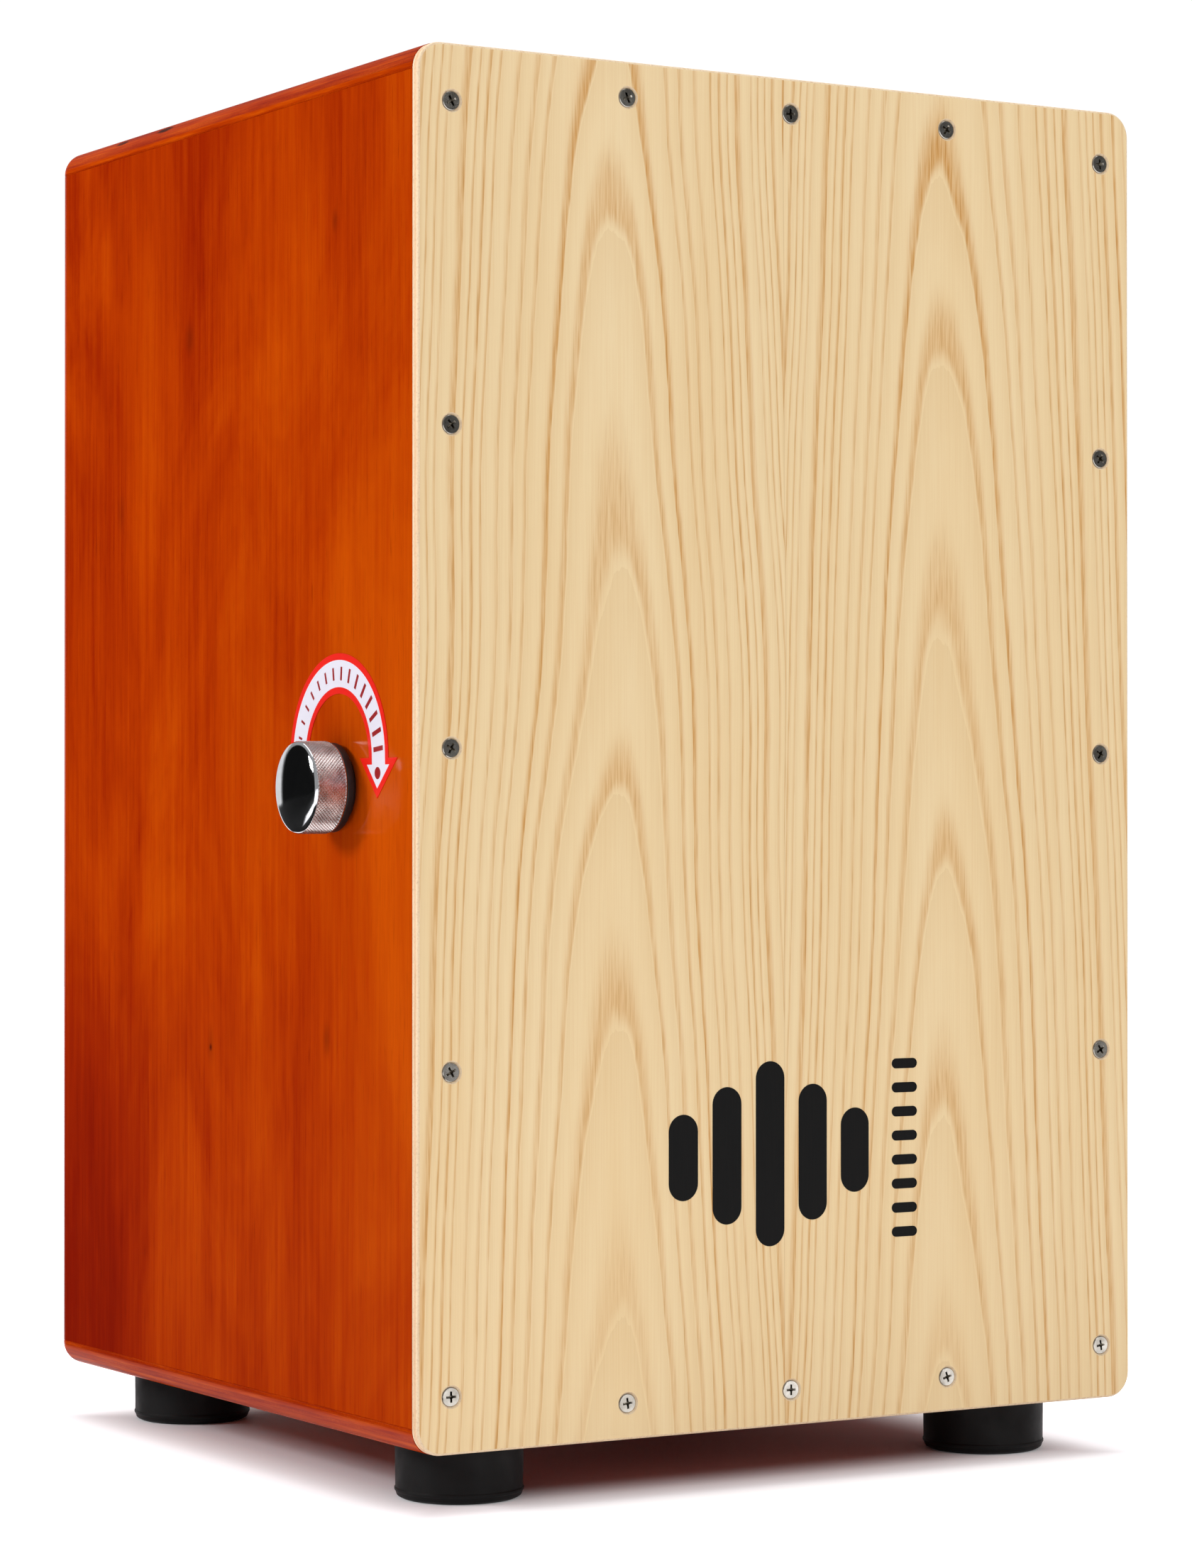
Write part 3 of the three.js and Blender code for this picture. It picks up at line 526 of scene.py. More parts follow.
def eased_box(bm, low, high, ease, slot=0):
    """A block with rounded corners round its longest axis and a small chamfer at its ends."""
    size = high - low
    long_axis = max(range(3), key=lambda axis: size[axis])
    a, b = [axis for axis in range(3) if axis != long_axis]

    def section(inset, along):
        loop = []
        corners = ((high[a], high[b], 0), (low[a], high[b], 90),
                   (low[a], low[b], 180), (high[a], low[b], 270))
        for corner_a, corner_b, start in corners:
            centre = (corner_a - math.copysign(ease, corner_a - (low[a] + high[a]) / 2),
                      corner_b - math.copysign(ease, corner_b - (low[b] + high[b]) / 2))
            for u, v in arc(centre, ease - inset, start, start + 90, ease_steps):
                point = [0.0, 0.0, 0.0]
                point[a], point[b], point[long_axis] = u, v, along
                loop.append(point)
        return loop

    nip = ease * 0.5
    start, end = low[long_axis], high[long_axis]
    slab(bm, [section(inset, along) for inset, along in (
        (nip, start), (0, start + nip), (0, end - nip), (nip, end))], slot)


def eased_block(name, material, ease, body, slot_name, node):
    """A softened block that fills its node's box."""
    bm = bmesh.new()
    eased_box(bm, *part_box(node), ease)
    return finish_piece(bm, name, (material,), body, slot_name, node)


upright_pine = pine("pine_upright", "Z")
level_pine = pine("pine_level", "X")
for node in batten_names:
    low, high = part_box(node)
    wood = upright_pine if high.z - low.z > high.x - low.x else level_pine
    eased_block(f"pine_{node}", wood, batten_ease, "drum", "raw_pine", node)

# ---------------------------------------------------------------------------------------------------------
# Front plate: thin three-ply board faced with book-matched ash, two leaves opened from one seam down the
# middle. Its corners are rounded, its rim is sanded soft and its sixteen holes are countersunk by hand.

plate_low, plate_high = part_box("front_plate")
plate_corner = 9 * MM
plate_rim = 1.1 * MM
plate_back_rim = 0.3 * MM
plate_flat_enough = 0.93
ink_thick = 0.06 * MM     # the face lies this far behind the print on it
plate_face = plate_low.y + ink_thick
sink_radius = 4.0 * MM
sink_sides = 32
shank_hole = 2.1 * MM
screw_nodes = sorted(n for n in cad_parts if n.startswith("front_screw_"))
screw_places = []
for node in screw_nodes:
    low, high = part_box(node)
    screw_places.append(Vector(((low.x + high.x) / 2, low.y, (low.z + high.z) / 2)))


def rounded_outline(low, high, inset, y):
    """A rectangle with rounded corners, drawn in a plane that faces the front."""
    x0, x1, z0, z1 = [
        low.x + plate_corner, high.x - plate_corner, low.z + plate_corner, high.z - plate_corner]
    points = []
    for centre, start in (((x1, z1), 0), ((x0, z1), 90), ((x0, z0), 180), ((x1, z0), 270)):
        points += arc(centre, plate_corner - inset, start, start + 90, corner_steps)
    return [(x, y, z) for x, z in points]


def ash_veneer(name):
    """Flat-sawn ash: growth rings of a leaning, tapered trunk cut by the face, so that they show as tall
    pointed arches in the middle of each leaf and as close straight lines at its sides."""
    # lengths in here are in millimetres
    seam_left = 3.0           # the seam between the leaves stands this far left of the middle
    heart_out = 69.0          # the tree's heart, out from the seam
    heart_depth = 52.0        # and behind the face
    taper = 0.031             # how fast the rings widen on the way up
    ring_width = 2.75
    early_peak, early_end = 0.10, 0.46
    material, tree, shader = new_material(name)
    parts = place_parts(tree)
    x = calc(tree, "SUBTRACT", product(tree, parts[0], 1 / MM), shell_middle_x / MM - seam_left)
    z = calc(tree, "SUBTRACT", product(tree, parts[2], 1 / MM), plate_low.z / MM)
    lean = noise(tree, stretched(tree, "Z", 0.0, 5), detail=1)
    x = plus_scaled(tree, x, calc(tree, "SUBTRACT", lean, 0.5), 5.0)
    right_leaf = calc(tree, "GREATER_THAN", x, 0.0)
    from_seam = calc(tree, "ABSOLUTE", x)
    # the leaves differ a little, so each samples the wobble in its own place
    leaf_shift = product(tree, right_leaf, 0.37)
    leaf_point = add(tree, "ShaderNodeCombineXYZ", {
        0: product(tree, from_seam, MM), 1: leaf_shift, 2: parts[2]}).outputs[0]

    def wobble(across, along, detail):
        inputs = {"Vector": leaf_point, "Scale": (across, 1.0, along)}
        point = add(tree, "ShaderNodeMapping", inputs).outputs[0]
        value = noise(tree, point, detail=detail, roughness=0.55)
        return calc(tree, "SUBTRACT", value, 0.5)

    heart = plus_scaled(tree, heart_out, wobble(0.0, 5.0, 1), 12.0)
    sideways = calc(tree, "SUBTRACT", from_seam, heart)
    # rings stand wider apart on the outer side of the heart
    sideways = calc(tree, "MINIMUM", sideways, product(tree, sideways, 0.86))
    reach = calc(tree, "SQRT", calc(tree, "MULTIPLY_ADD", sideways, sideways, heart_depth ** 2))
    climb = plus_scaled(tree, product(tree, right_leaf, 1.3), z, taper)
    radius = calc(tree, "ADD", reach, climb)
    for across, along, detail, size in ((12, 4, 1, 3.6), (60, 14, 2, 0.7), (500, 50, 2, 0.2)):
        radius = plus_scaled(tree, radius, wobble(across, along, detail), size)
    # ring widths vary from year to year
    uneven = add(tree, "ShaderNodeTexNoise", {
        "W": product(tree, radius, 0.16), "Scale": 1.0, "Detail": 1.0}, noise_dimensions="1D").outputs[0]
    years = calc(tree, "DIVIDE", plus_scaled(tree, radius, uneven, 3.0), ring_width)
    year = calc(tree, "FLOOR", years)
    season = calc(tree, "FRACT", years)
    strength = add(tree, "ShaderNodeTexWhiteNoise", {"W": year}, noise_dimensions="1D").outputs[0]
    onset = remap(tree, season, 0.0, early_peak, smooth=True)
    fade = remap(tree, season, early_peak, early_end, 1.0, 0.0, smooth=True)
    early_wood = product(tree, onset, fade)
    early_wood = product(tree, early_wood, remap(tree, strength, 0.0, 1.0, 0.28, 1.0))
    pores = noise(tree, stretched(tree, "Z", 1500, 55), detail=2, roughness=0.6)
    fibre = noise(tree, stretched(tree, "Z", 2600, 26), detail=2, roughness=0.6)
    silk = noise(tree, stretched(tree, "Z", 55, 4), detail=3)
    streaky = product(tree, early_wood, remap(tree, pores, 0.32, 0.62, 0.45, 1.1))
    tone = blend_colour(tree, silk, srgb(253, 229, 183), srgb(246, 215, 162))
    late_wood = product(tree, remap(tree, season, 0.6, 1.0), 0.28)
    tone = blend_colour(tree, late_wood, tone, srgb(230, 194, 138))
    tone = blend_colour(tree, streaky, tone, srgb(212, 150, 66))
    vessel = product(tree, product(tree, early_wood, remap(tree, pores, 0.56, 0.7)), 0.5)
    tone = blend_colour(tree, vessel, tone, srgb(188, 134, 66))
    shadow = remap(tree, fibre, 0.4, 0.75, 0.0, 0.16)
    tone = blend_colour(tree, shadow, tone, srgb(232, 200, 140), "MULTIPLY")
    glue_seam = product(tree, remap(tree, from_seam, 0.0, 0.28, 1.0, 0.0), 0.3)
    tone = blend_colour(tree, glue_seam, tone, srgb(196, 150, 96))
    relief = plus_scaled(tree, product(tree, fibre, 0.35), vessel, -1.0)
    gloss = remap(tree, streaky, 0.0, 0.9, 0.42, 0.52)
    wire(tree, shader, Base_Color=tone, Roughness=gloss, Normal=bump(tree, relief, 0.05 * MM, 0.5),
         Coat_Weight=0.12, Coat_Roughness=0.3, Specular_IOR_Level=0.35)
    return material


def pale_ply_edge(name):
    """The plate's sawn and sanded rim: two face plies along the grain and an end-grain core between them."""
    core_start, core_end = 1.3 * MM, 3.0 * MM
    material, tree, shader = new_material(name)
    depth = calc(tree, "SUBTRACT", place_parts(tree)[1], plate_low.y)
    wander = noise(tree, place(tree), detail=2, scale=90)
    depth = plus_scaled(tree, depth, wander, 0.3 * MM)
    core = product(tree, calc(tree, "GREATER_THAN", depth, core_start),
                   calc(tree, "LESS_THAN", depth, core_end))
    speckle = noise(tree, place(tree), detail=4, roughness=0.7, scale=1300)
    fibre = noise(tree, stretched(tree, "Z", 900, 40), detail=3)
    tone = blend_colour(tree, core, srgb(246, 222, 186), srgb(238, 200, 160))
    tone = blend_colour(tree, remap(tree, speckle, 0.5, 0.75, 0.0, 0.6), tone, srgb(196, 150, 108))
    shadow = remap(tree, fibre, 0.45, 0.8, 0.0, 0.4)
    tone = blend_colour(tree, shadow, tone, srgb(214, 172, 126), "MULTIPLY")
    wire(tree, shader, Base_Color=tone, Roughness=0.6, Normal=bump(tree, speckle, 0.08 * MM, 0.6),
         Specular_IOR_Level=0.3)
    return material


bm = bmesh.new()
rim_levels = [(plate_back_rim, plate_high.y), (0.0, plate_high.y - plate_back_rim)]
rim_levels += [(inset, plate_face + into) for inset, into in softened(plate_rim)]
rim_levels += [(plate_rim + support, plate_face)]
rim_rows = skin(bm, [rounded_outline(plate_low, plate_high, inset, y) for inset, y in rim_levels], slot=1)
sink_levels = [(sink_radius, plate_face), (shank_hole, plate_face + sink_radius - shank_hole),
               (shank_hole, plate_high.y)]
sink_rows = []
for middle in screw_places:
    loops = [ring(middle.x, middle.z, radius, y, sink_sides) for radius, y in sink_levels]
    sink_rows.append(skin(bm, loops, slot=1))
fill(bm, [rim_rows[-1]] + [rows[0] for rows in sink_rows], slot=0)
fill(bm, [rim_rows[0]] + [rows[-1] for rows in sink_rows], slot=2)
bm.normal_update()
for face in bm.faces:
    at_front = face.calc_center_median().y < plate_face + plate_rim
    if face.material_index == 1 and at_front and abs(face.normal.y) > plate_flat_enough:
        face.material_index = 0
finish_piece(bm, "ash_plate", (ash_veneer("ash_book_match"), pale_ply_edge("plate_ply_edge"), inner_side),
             "drum", "ash_veneer", "front_plate")

# ---------------------------------------------------------------------------------------------------------
# Print: matt black screen ink on the lower middle of the plate. A plain sign of five sound-level bars, and a
# column of short ticks beside it.

sign_middle = (shell_middle_x - 9 * MM, bottom_low.z + 96 * MM)
bar_width = 12 * MM
bar_pitch = 18 * MM
bar_heights = [30 * MM, 48 * MM, 65 * MM, 48 * MM, 30 * MM]
tick_x = shell_middle_x + 48.5 * MM
tick_size = (11 * MM, 3.6 * MM)
tick_pitch = 8.6 * MM
tick_count = 8
print_gap = 0.01 * MM     # print stands this little clear of what it is printed on


def ink(name, colour):
    material, tree, shader = new_material(name)
    grain = noise(tree, stretched(tree, "Z", 1500, 55), detail=2)
    tone = blend_colour(tree, remap(tree, grain, 0.4, 0.7), colour, srgb(16, 15, 14))
    rough = remap(tree, grain, 0.3, 0.7, 0.5, 0.66)
    wire(tree, shader, Base_Color=tone, Roughness=rough, Normal=bump(tree, grain, 0.02 * MM, 0.4),
         Specular_IOR_Level=0.12)
    return material


def printed_bar(bm, centre, width, height):
    """A flat bar with rounded ends, as thick as a coat of ink."""
    half, straight = min(width, height) / 2, abs(height - width) / 2
    if height > width:
        outline = arc((centre[0], centre[1] + straight), half, 0, 180, 20)
        outline += arc((centre[0], centre[1] - straight), half, 180, 360, 20)
    else:
        outline = arc((centre[0] - straight, centre[1]), half, 90, 270, 10)
        outline += arc((centre[0] + straight, centre[1]), half, -90, 90, 10)
    slab(bm, [[(x, y, z) for x, z in outline] for y in (plate_face + print_gap, plate_low.y)])


def spread(count, pitch):
    """Evenly spaced offsets about a middle."""
    return [(i - (count - 1) / 2) * pitch for i in range(count)]


bm = bmesh.new()
for offset, height in zip(spread(len(bar_heights), bar_pitch), bar_heights):
    printed_bar(bm, (sign_middle[0] + offset, sign_middle[1]), bar_width, height)
for offset in spread(tick_count, tick_pitch):
    printed_bar(bm, (tick_x, sign_middle[1] + offset), *tick_size)
finish_piece(bm, "printed_sign", (ink("black_screen_ink", srgb(7, 7, 7)),), "drum", "ash_veneer")

# ---------------------------------------------------------------------------------------------------------
# Front screws: sixteen nickel-plated countersunk wood screws with a cross recess, driven through the plate
# into the front battens. No two stop at the same turn.

head_radius = 3.25 * MM
shank_radius = 1.6 * MM
screw_length = 15.5 * MM
screw_sides = 32
facing_front = Euler((math.pi / 2, 0, 0))


def cross_outline(arm, width, z):
    """The cross of a screwdriver recess, with its inner corners filled a little."""
    half, fillet = width / 2, width * 0.32
    quarter = [(arm, -half), (arm, half), (half + fillet, half), (half, half + fillet)]
    return [(x * math.cos(t) - y * math.sin(t), x * math.sin(t) + y * math.cos(t), z)
            for t in (0, math.pi / 2, math.pi, 3 * math.pi / 2) for x, y in quarter]


def cross_head_screw(name, profile, recess, depth):
    """A screw standing along +Z with its head up. The profile runs from the head's rim to the tip, as
    (radius, height); recess is the cross's reach."""
    bm = bmesh.new()
    turns = [2 * math.pi * i / screw_sides for i in range(screw_sides)]
    rows = skin(bm, [[(r * math.cos(t), r * math.sin(t), z) for t in turns] for r, z in profile])
    cap(bm, rows[-1])
    top = profile[0][1]
    # the recess narrows on its way down: mouth, throat, floor
    mouth, throat, floor_cross = [
        cross_outline(recess * reach, recess * width, top - depth * down)
        for reach, width, down in ((1.0, 0.42, 0.0), (0.86, 0.36, 0.3), (0.42, 0.24, 1.0))]
    upper = skin(bm, [mouth, throat])
    lower = skin(bm, [throat, floor_cross], slot=1)
    cap(bm, lower[-1], 1)
    fill(bm, [rows[0], upper[0]])
    merge_doubles(bm)
    mesh = new_mesh(bm, name)
    recessed = mesh.attributes.new("in_recess", "BOOLEAN", "FACE")
    for face in mesh.polygons:
        recessed.data[face.index].value = face.material_index == 1
        face.material_index = 0
    mesh.set_sharp_from_angle(angle=math.radians(sharp_turn))
    return new_object(name, mesh)


def new_tree(name, sockets):
    """A geometry tree with named inputs: (name, socket type, default)."""
    tree = bpy.data.node_groups.new(name, "GeometryNodeTree")
    tree.interface.new_socket("Geometry", in_out="INPUT", socket_type="NodeSocketGeometry")
    tree.interface.new_socket("Geometry", in_out="OUTPUT", socket_type="NodeSocketGeometry")
    for label, kind, default in sockets:
        socket = tree.interface.new_socket(label, in_out="INPUT", socket_type=kind)
        if default is not None:
            socket.default_value = default
    return tree, tree.nodes.new("NodeGroupInput"), tree.nodes.new("NodeGroupOutput")


def dress(tree, geometry, material, selection=True):
    inputs = {"Geometry": geometry, "Selection": selection, "Material": material}
    return add(tree, "GeometryNodeSetMaterial", inputs).outputs[0]


def applied(worked, name):
    """The plain mesh that an object's modifiers make of it. The modifiers are removed."""
    mesh = bpy.data.meshes.new_from_object(worked.evaluated_get(bpy.context.evaluated_depsgraph_get()))
    mesh.name = name
    worked.modifiers.clear()
    return mesh


def grown(name, tree, settings, points=()):
    """Runs a geometry tree on a mesh of points and keeps its result as a plain mesh object."""
    seed_mesh = bpy.data.meshes.new(name + "_points")
    seed_mesh.from_pydata([tuple(point) for point in points], [], [])
    grower = new_object(name + "_grower", seed_mesh)
    modifier = grower.modifiers.new("grow", "NODES")
    modifier.node_group = tree
    for item in tree.interface.items_tree:
        if item.in_out == "INPUT" and item.name in settings:
            modifier[item.identifier] = settings[item.name]
    piece = new_object(name, applied(grower, name))
    bpy.data.objects.remove(grower)
    return piece


def screw_setting_tree(material):
    """Sets one pattern screw on every point, facing one way and turned by a random angle."""
    tree, given, result = new_tree("set_screws_" + material.name, [
        ("Screw", "NodeSocketObject", None), ("Facing", "NodeSocketRotation", None),
        ("Seed", "NodeSocketInt", 1)])
    given = given.outputs
    pattern = add(tree, "GeometryNodeObjectInfo", {"Object": given["Screw"]}).outputs["Geometry"]
    turn = add(tree, "FunctionNodeRandomValue", {"Min": 0.0, "Max": math.tau, "Seed": given["Seed"]})
    placed = add(tree, "GeometryNodeInstanceOnPoints", {
        "Points": given["Geometry"], "Instance": pattern, "Rotation": given["Facing"]}).outputs[0]
    spin = add(tree, "ShaderNodeCombineXYZ", {"Z": turn.outputs[1]}).outputs[0]
    spun = add(tree, "GeometryNodeRotateInstances", {"Instances": placed, "Rotation": spin}).outputs[0]
    dressed = dress(tree, add(tree, "GeometryNodeRealizeInstances", {"Geometry": spun}).outputs[0], material)
    # the cross recesses take a darker plating: painted shade
    in_recess = add(tree, "GeometryNodeInputNamedAttribute", {"Name": "in_recess"}, data_type="BOOLEAN")
    recess_shaded = dress(tree, dressed, recess_grime, in_recess.outputs[0])
    tree.links.new(recess_shaded, result.inputs[0])
    return tree


def plated_steel(name, colour, roughness, smudge):
    """Bright plating with fine wear, and greyer where fingers or the driver have touched it. Used darker in
    the screws' recesses as painted shade.
    """
    material, tree, shader = new_material(name)
    scratches = noise(tree, place(tree), detail=5, roughness=0.7, scale=1800)
    cloud = noise(tree, place(tree), detail=3, scale=220)
    tone = blend_colour(tree, remap(tree, cloud, 0.35, 0.7), colour, smudge)
    rough = remap(tree, scratches, 0.3, 0.7, roughness * 0.8, roughness * 1.35)
    wire(tree, shader, Base_Color=tone, Metallic=1.0, Roughness=rough,
         Normal=bump(tree, scratches, 0.02 * MM, 0.35))
    return material


nickel = plated_steel("nickel_plate", srgb(190, 186, 178), 0.17, srgb(146, 141, 132))
# darker plating for the cross recesses, darker still in patches: painted shade standing in for the recesses'
# own shade
recess_grime = plated_steel("recess_grime", srgb(150, 144, 132), 0.26, srgb(74, 68, 60))
wood_screw = cross_head_screw("wood_screw_pattern", [
    (head_radius - 0.2 * MM, 0), (head_radius, -0.15 * MM), (head_radius, -0.4 * MM),
    (shank_radius, -1.95 * MM), (shank_radius, -12 * MM), (0.3 * MM, -screw_length)], 1.9 * MM, 1.5 * MM)


def drive(name, pattern, material, facing, seed, points, body, slot_name, *nodes):
    """Sets a pattern screw on all its points, as one piece, and puts the pattern away."""
    screws = grown(name, screw_setting_tree(material), {
        "Screw": pattern, "Facing": facing, "Seed": seed}, points)
    settle(screws, body, slot_name, *nodes)
    bpy.data.objects.remove(pattern)


drive("front_screws", wood_screw, nickel, facing_front, 5, screw_places, "drum", "nickel_screw", *screw_nodes)

# ---------------------------------------------------------------------------------------------------------
# Feet: four moulded black rubber cylinders, matt, with a flash line just above the floor, each held by a
# zinc-plated washer-head screw up in its recess.

foot_names = ("front_left", "front_right", "back_left", "back_right")
foot_sides = 72
recess_mouth = 9.3 * MM
recess_radius = 9 * MM
recess_depth = 12 * MM
foot_hole = 2.7 * MM
foot_screw_seat = 8 * MM


def turned(bm, profile, centre, axis, sides):
    """A round solid about an axis from (radius, height) points; height runs along the axis from the centre.
    A profile that starts or ends off the axis is closed onto itself as a ring."""
    along = Vector(axis)
    across = along.orthogonal().normalized()
    third = along.cross(across)
    rows = []
    for radius, height in profile:
        base = Vector(centre) + along * height
        if radius < no_length:
            rows.append([bm.verts.new(base)])
        else:
            spokes = [across * math.cos(t) + third * math.sin(t)
                      for t in (math.tau * i / sides for i in range(sides))]
            rows.append([bm.verts.new(base + spoke * radius) for spoke in spokes])
    pairs = list(zip(rows, rows[1:]))
    if len(rows[0]) > 1 and len(rows[-1]) > 1:
        pairs.append((rows[-1], rows[0]))
    for lower, upper in pairs:
        for i in range(sides):
            j = (i + 1) % sides
            corners = [lower[i % len(lower)], lower[j % len(lower)],
                       upper[j % len(upper)], upper[i % len(upper)]]
            bm.faces.new(list(dict.fromkeys(corners)))


def eased(profile, radius, steps=4, closed=False):
    """A profile with its corners rounded by that radius, or by less where an edge is short."""
    result = []
    count = len(profile)
    for i, (u, v) in enumerate(profile):
        if not closed and i in (0, count - 1):
            result.append((u, v))
            continue
        corner = Vector((u, v))
        before, after = Vector(profile[i - 1]), Vector(profile[(i + 1) % count])
        reach = min(radius, (before - corner).length * 0.45, (after - corner).length * 0.45)
        start = corner + (before - corner).normalized() * reach
        end = corner + (after - corner).normalized() * reach
        for k in range(steps + 1):
            t = k / steps
            point = start.lerp(corner, t).lerp(corner.lerp(end, t), t)
            result.append((point.x, point.y))
    return result


def round_piece(name, profile, centre, axis, sides, material, body, slot_name, node, sharp=sharp_turn):
    """A turned solid that stands for one CAD node."""
    bm = bmesh.new()
    turned(bm, profile, centre, axis, sides)
    return finish_piece(bm, name, (material,), body, slot_name, node, sharp=sharp)


def moulded_rubber(name):
    material, tree, shader = new_material(name)
    skin_noise = noise(tree, place(tree), detail=4, roughness=0.6, scale=1400)
    dust = noise(tree, place(tree), detail=3, scale=120)
    tone = blend_colour(tree, remap(tree, dust, 0.45, 0.8, 0.0, 0.5), srgb(6, 6, 6), srgb(16, 15, 15))
    rough = remap(tree, dust, 0.3, 0.7, 0.5, 0.68)
    wire(tree, shader, Base_Color=tone, Roughness=rough, Normal=bump(tree, skin_noise, 0.06 * MM, 0.5),
         Specular_IOR_Level=0.2)
    return material


rubber = moulded_rubber("black_rubber")
foot_points = []
for corner_name in foot_names:
    low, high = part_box(f"foot_{corner_name}")
    radius, height = (high.x - low.x) / 2, high.z - low.z
    wall = [(foot_hole, recess_depth), (recess_radius, recess_depth), (recess_mouth, 0.0)]
    # the outside, up from the floor: how far in from the widest, height. The flash line is the widest part
    wall += [(radius - inset * MM, up * MM) for inset, up in (
        (2.6, 0.0), (0.8, 0.9), (0.35, 2.4), (0, 2.7), (0, 3.5), (0.3, 3.8))]
    wall += [(radius - 0.15 * MM, height - 1.2 * MM), (radius - 0.7 * MM, height), (foot_hole, height)]
    centre = Vector(((low.x + high.x) / 2, (low.y + high.y) / 2, low.z))
    round_piece(f"rubber_foot_{corner_name}", eased(wall, 0.5 * MM, closed=True), centre, (0, 0, 1),
                foot_sides, rubber, "drum", "foot_rubber", f"foot_{corner_name}")
    foot_points.append(centre + Vector((0, 0, foot_screw_seat)))

zinc = plated_steel("zinc_plate", srgb(176, 180, 184), 0.3, srgb(132, 136, 140))
facing_down = Euler((math.pi, 0, 0))
foot_screw = cross_head_screw("foot_screw_pattern", [(r * MM, z * MM) for r, z in (
    (2.6, 0), (3.8, -0.8), (4.1, -2.2), (5.7, -2.5), (6, -2.9), (6, -3.8),
    (2.2, -4), (2.2, -18), (0.5, -20))], 2.3 * MM, 1.8 * MM)
drive("foot_screws", foot_screw, zinc, facing_down, 8, foot_points, "drum", "plain_steel",
      *[f"foot_screw_{corner_name}" for corner_name in foot_names])

# ---------------------------------------------------------------------------------------------------------
# Label: a die-cut arrow of glossy white vinyl with a red border, stuck round the knob to show which way it
# turns the snares on. Its print is a plain row of strokes that grow towards the arrowhead.

label_low, label_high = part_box("arrow_label")
arch_outer = 36.5 * MM
arch_inner = 22.5 * MM
barb = 6.5 * MM
arrow_drop = 13.75 * MM
arch_sweep = 201.6        # degrees, from the arrowhead round to the tail
arch_steps = 56
label_border = 2.3 * MM
label_print = 0.03 * MM
stroke_count = 17
stroke_first, stroke_last = 188, 6       # degrees round the arch
stroke_small, stroke_large = (1.0 * MM, 0.35 * MM), (3.4 * MM, 0.85 * MM)     # half length, half width
dot_radius = 2.1 * MM
label_middle = (arch_outer + arch_inner) / 2
label_centre = (label_low.y + arch_outer + barb, label_high.z - arch_outer)


def inset_outline(points, distance):
    """A closed outline moved in by a distance, with mitred corners. It runs anticlockwise."""
    moved = []
    for i, corner in enumerate(points):
        corner = Vector(corner)
        before = (corner - Vector(points[i - 1])).normalized()
        after = (Vector(points[(i + 1) % len(points)]) - corner).normalized()
        normal_before = Vector((-before.y, before.x))
        normal_after = Vector((-after.y, after.x))
        mitre = (normal_before + normal_after).normalized()
        moved.append(tuple(corner + mitre * (distance / mitre.dot(normal_before))))
    return moved


def on_label(points, x):
    """Points drawn as (towards the front, up) about the arch's centre, laid on the left panel."""
    return [(x, label_centre[0] - u, label_centre[1] + v) for u, v in points]


def vinyl(name, colour):
    material, tree, shader = new_material(name)
    ripple = noise(tree, place(tree), detail=2, scale=160)
    specks = noise(tree, place(tree), detail=2, scale=2600)
    tone = blend_colour(tree, remap(tree, specks, 0.62, 0.8, 0.0, 0.14), colour, srgb(150, 130, 128))
    wire(tree, shader, Base_Color=tone, Roughness=0.32, Normal=bump(tree, ripple, 0.05 * MM, 0.4),
         Specular_IOR_Level=0.3)
    return material


arrow = arc((0, 0), arch_outer, 0, arch_sweep, arch_steps)
arrow += arc((0, 0), arch_inner, arch_sweep, 0, arch_steps)
arrow += [(arch_inner - barb, 0), (label_middle - 1 * MM, -arrow_drop), (arch_outer + barb, 0)]
label_face = label_low.x + label_print
white_part = inset_outline(arrow, label_border)
bm = bmesh.new()
label_loops = ((arrow, label_high.x), (arrow, label_face), (white_part, label_face))
rows = skin(bm, [on_label(outline, x) for outline, x in label_loops])
fill(bm, [rows[0]], slot=0)
fill(bm, [rows[-1]], slot=1)
prints = []
for i in range(stroke_count):
    share = i / (stroke_count - 1)
    turn = math.radians(stroke_first + (stroke_last - stroke_first) * share)
    half_long, half_wide = [
        small + (large - small) * share for small, large in zip(stroke_small, stroke_large)]
    out = Vector((math.cos(turn), math.sin(turn)))
    round_arch = Vector((-out.y, out.x))
    prints.append([out * (label_middle + a * half_long) + round_arch * b * half_wide
                   for a, b in ((-1, -1), (1, -1), (1, 1), (-1, 1))])
prints.append(arc((label_middle - 0.6 * MM, -5.2 * MM), dot_radius, 0, 360, 24)[:-1])
for outline in prints:
    slab(bm, [on_label(outline, label_face + print_gap), on_label(outline, label_low.x)], slot=2)
label_colours = (vinyl("red_vinyl", srgb(232, 26, 12)), vinyl("white_vinyl", srgb(228, 225, 236)),
                 vinyl("dark_red_print", srgb(150, 22, 26)))
finish_piece(bm, "turn_label", label_colours, "drum", "label_vinyl", "arrow_label")

# ---------------------------------------------------------------------------------------------------------
# Knob: a chromed brass grip with diamond knurling and a polished domed end, on a black skirt. A grub screw
# up through its back edge clamps it on the steel shaft that carries the snares.

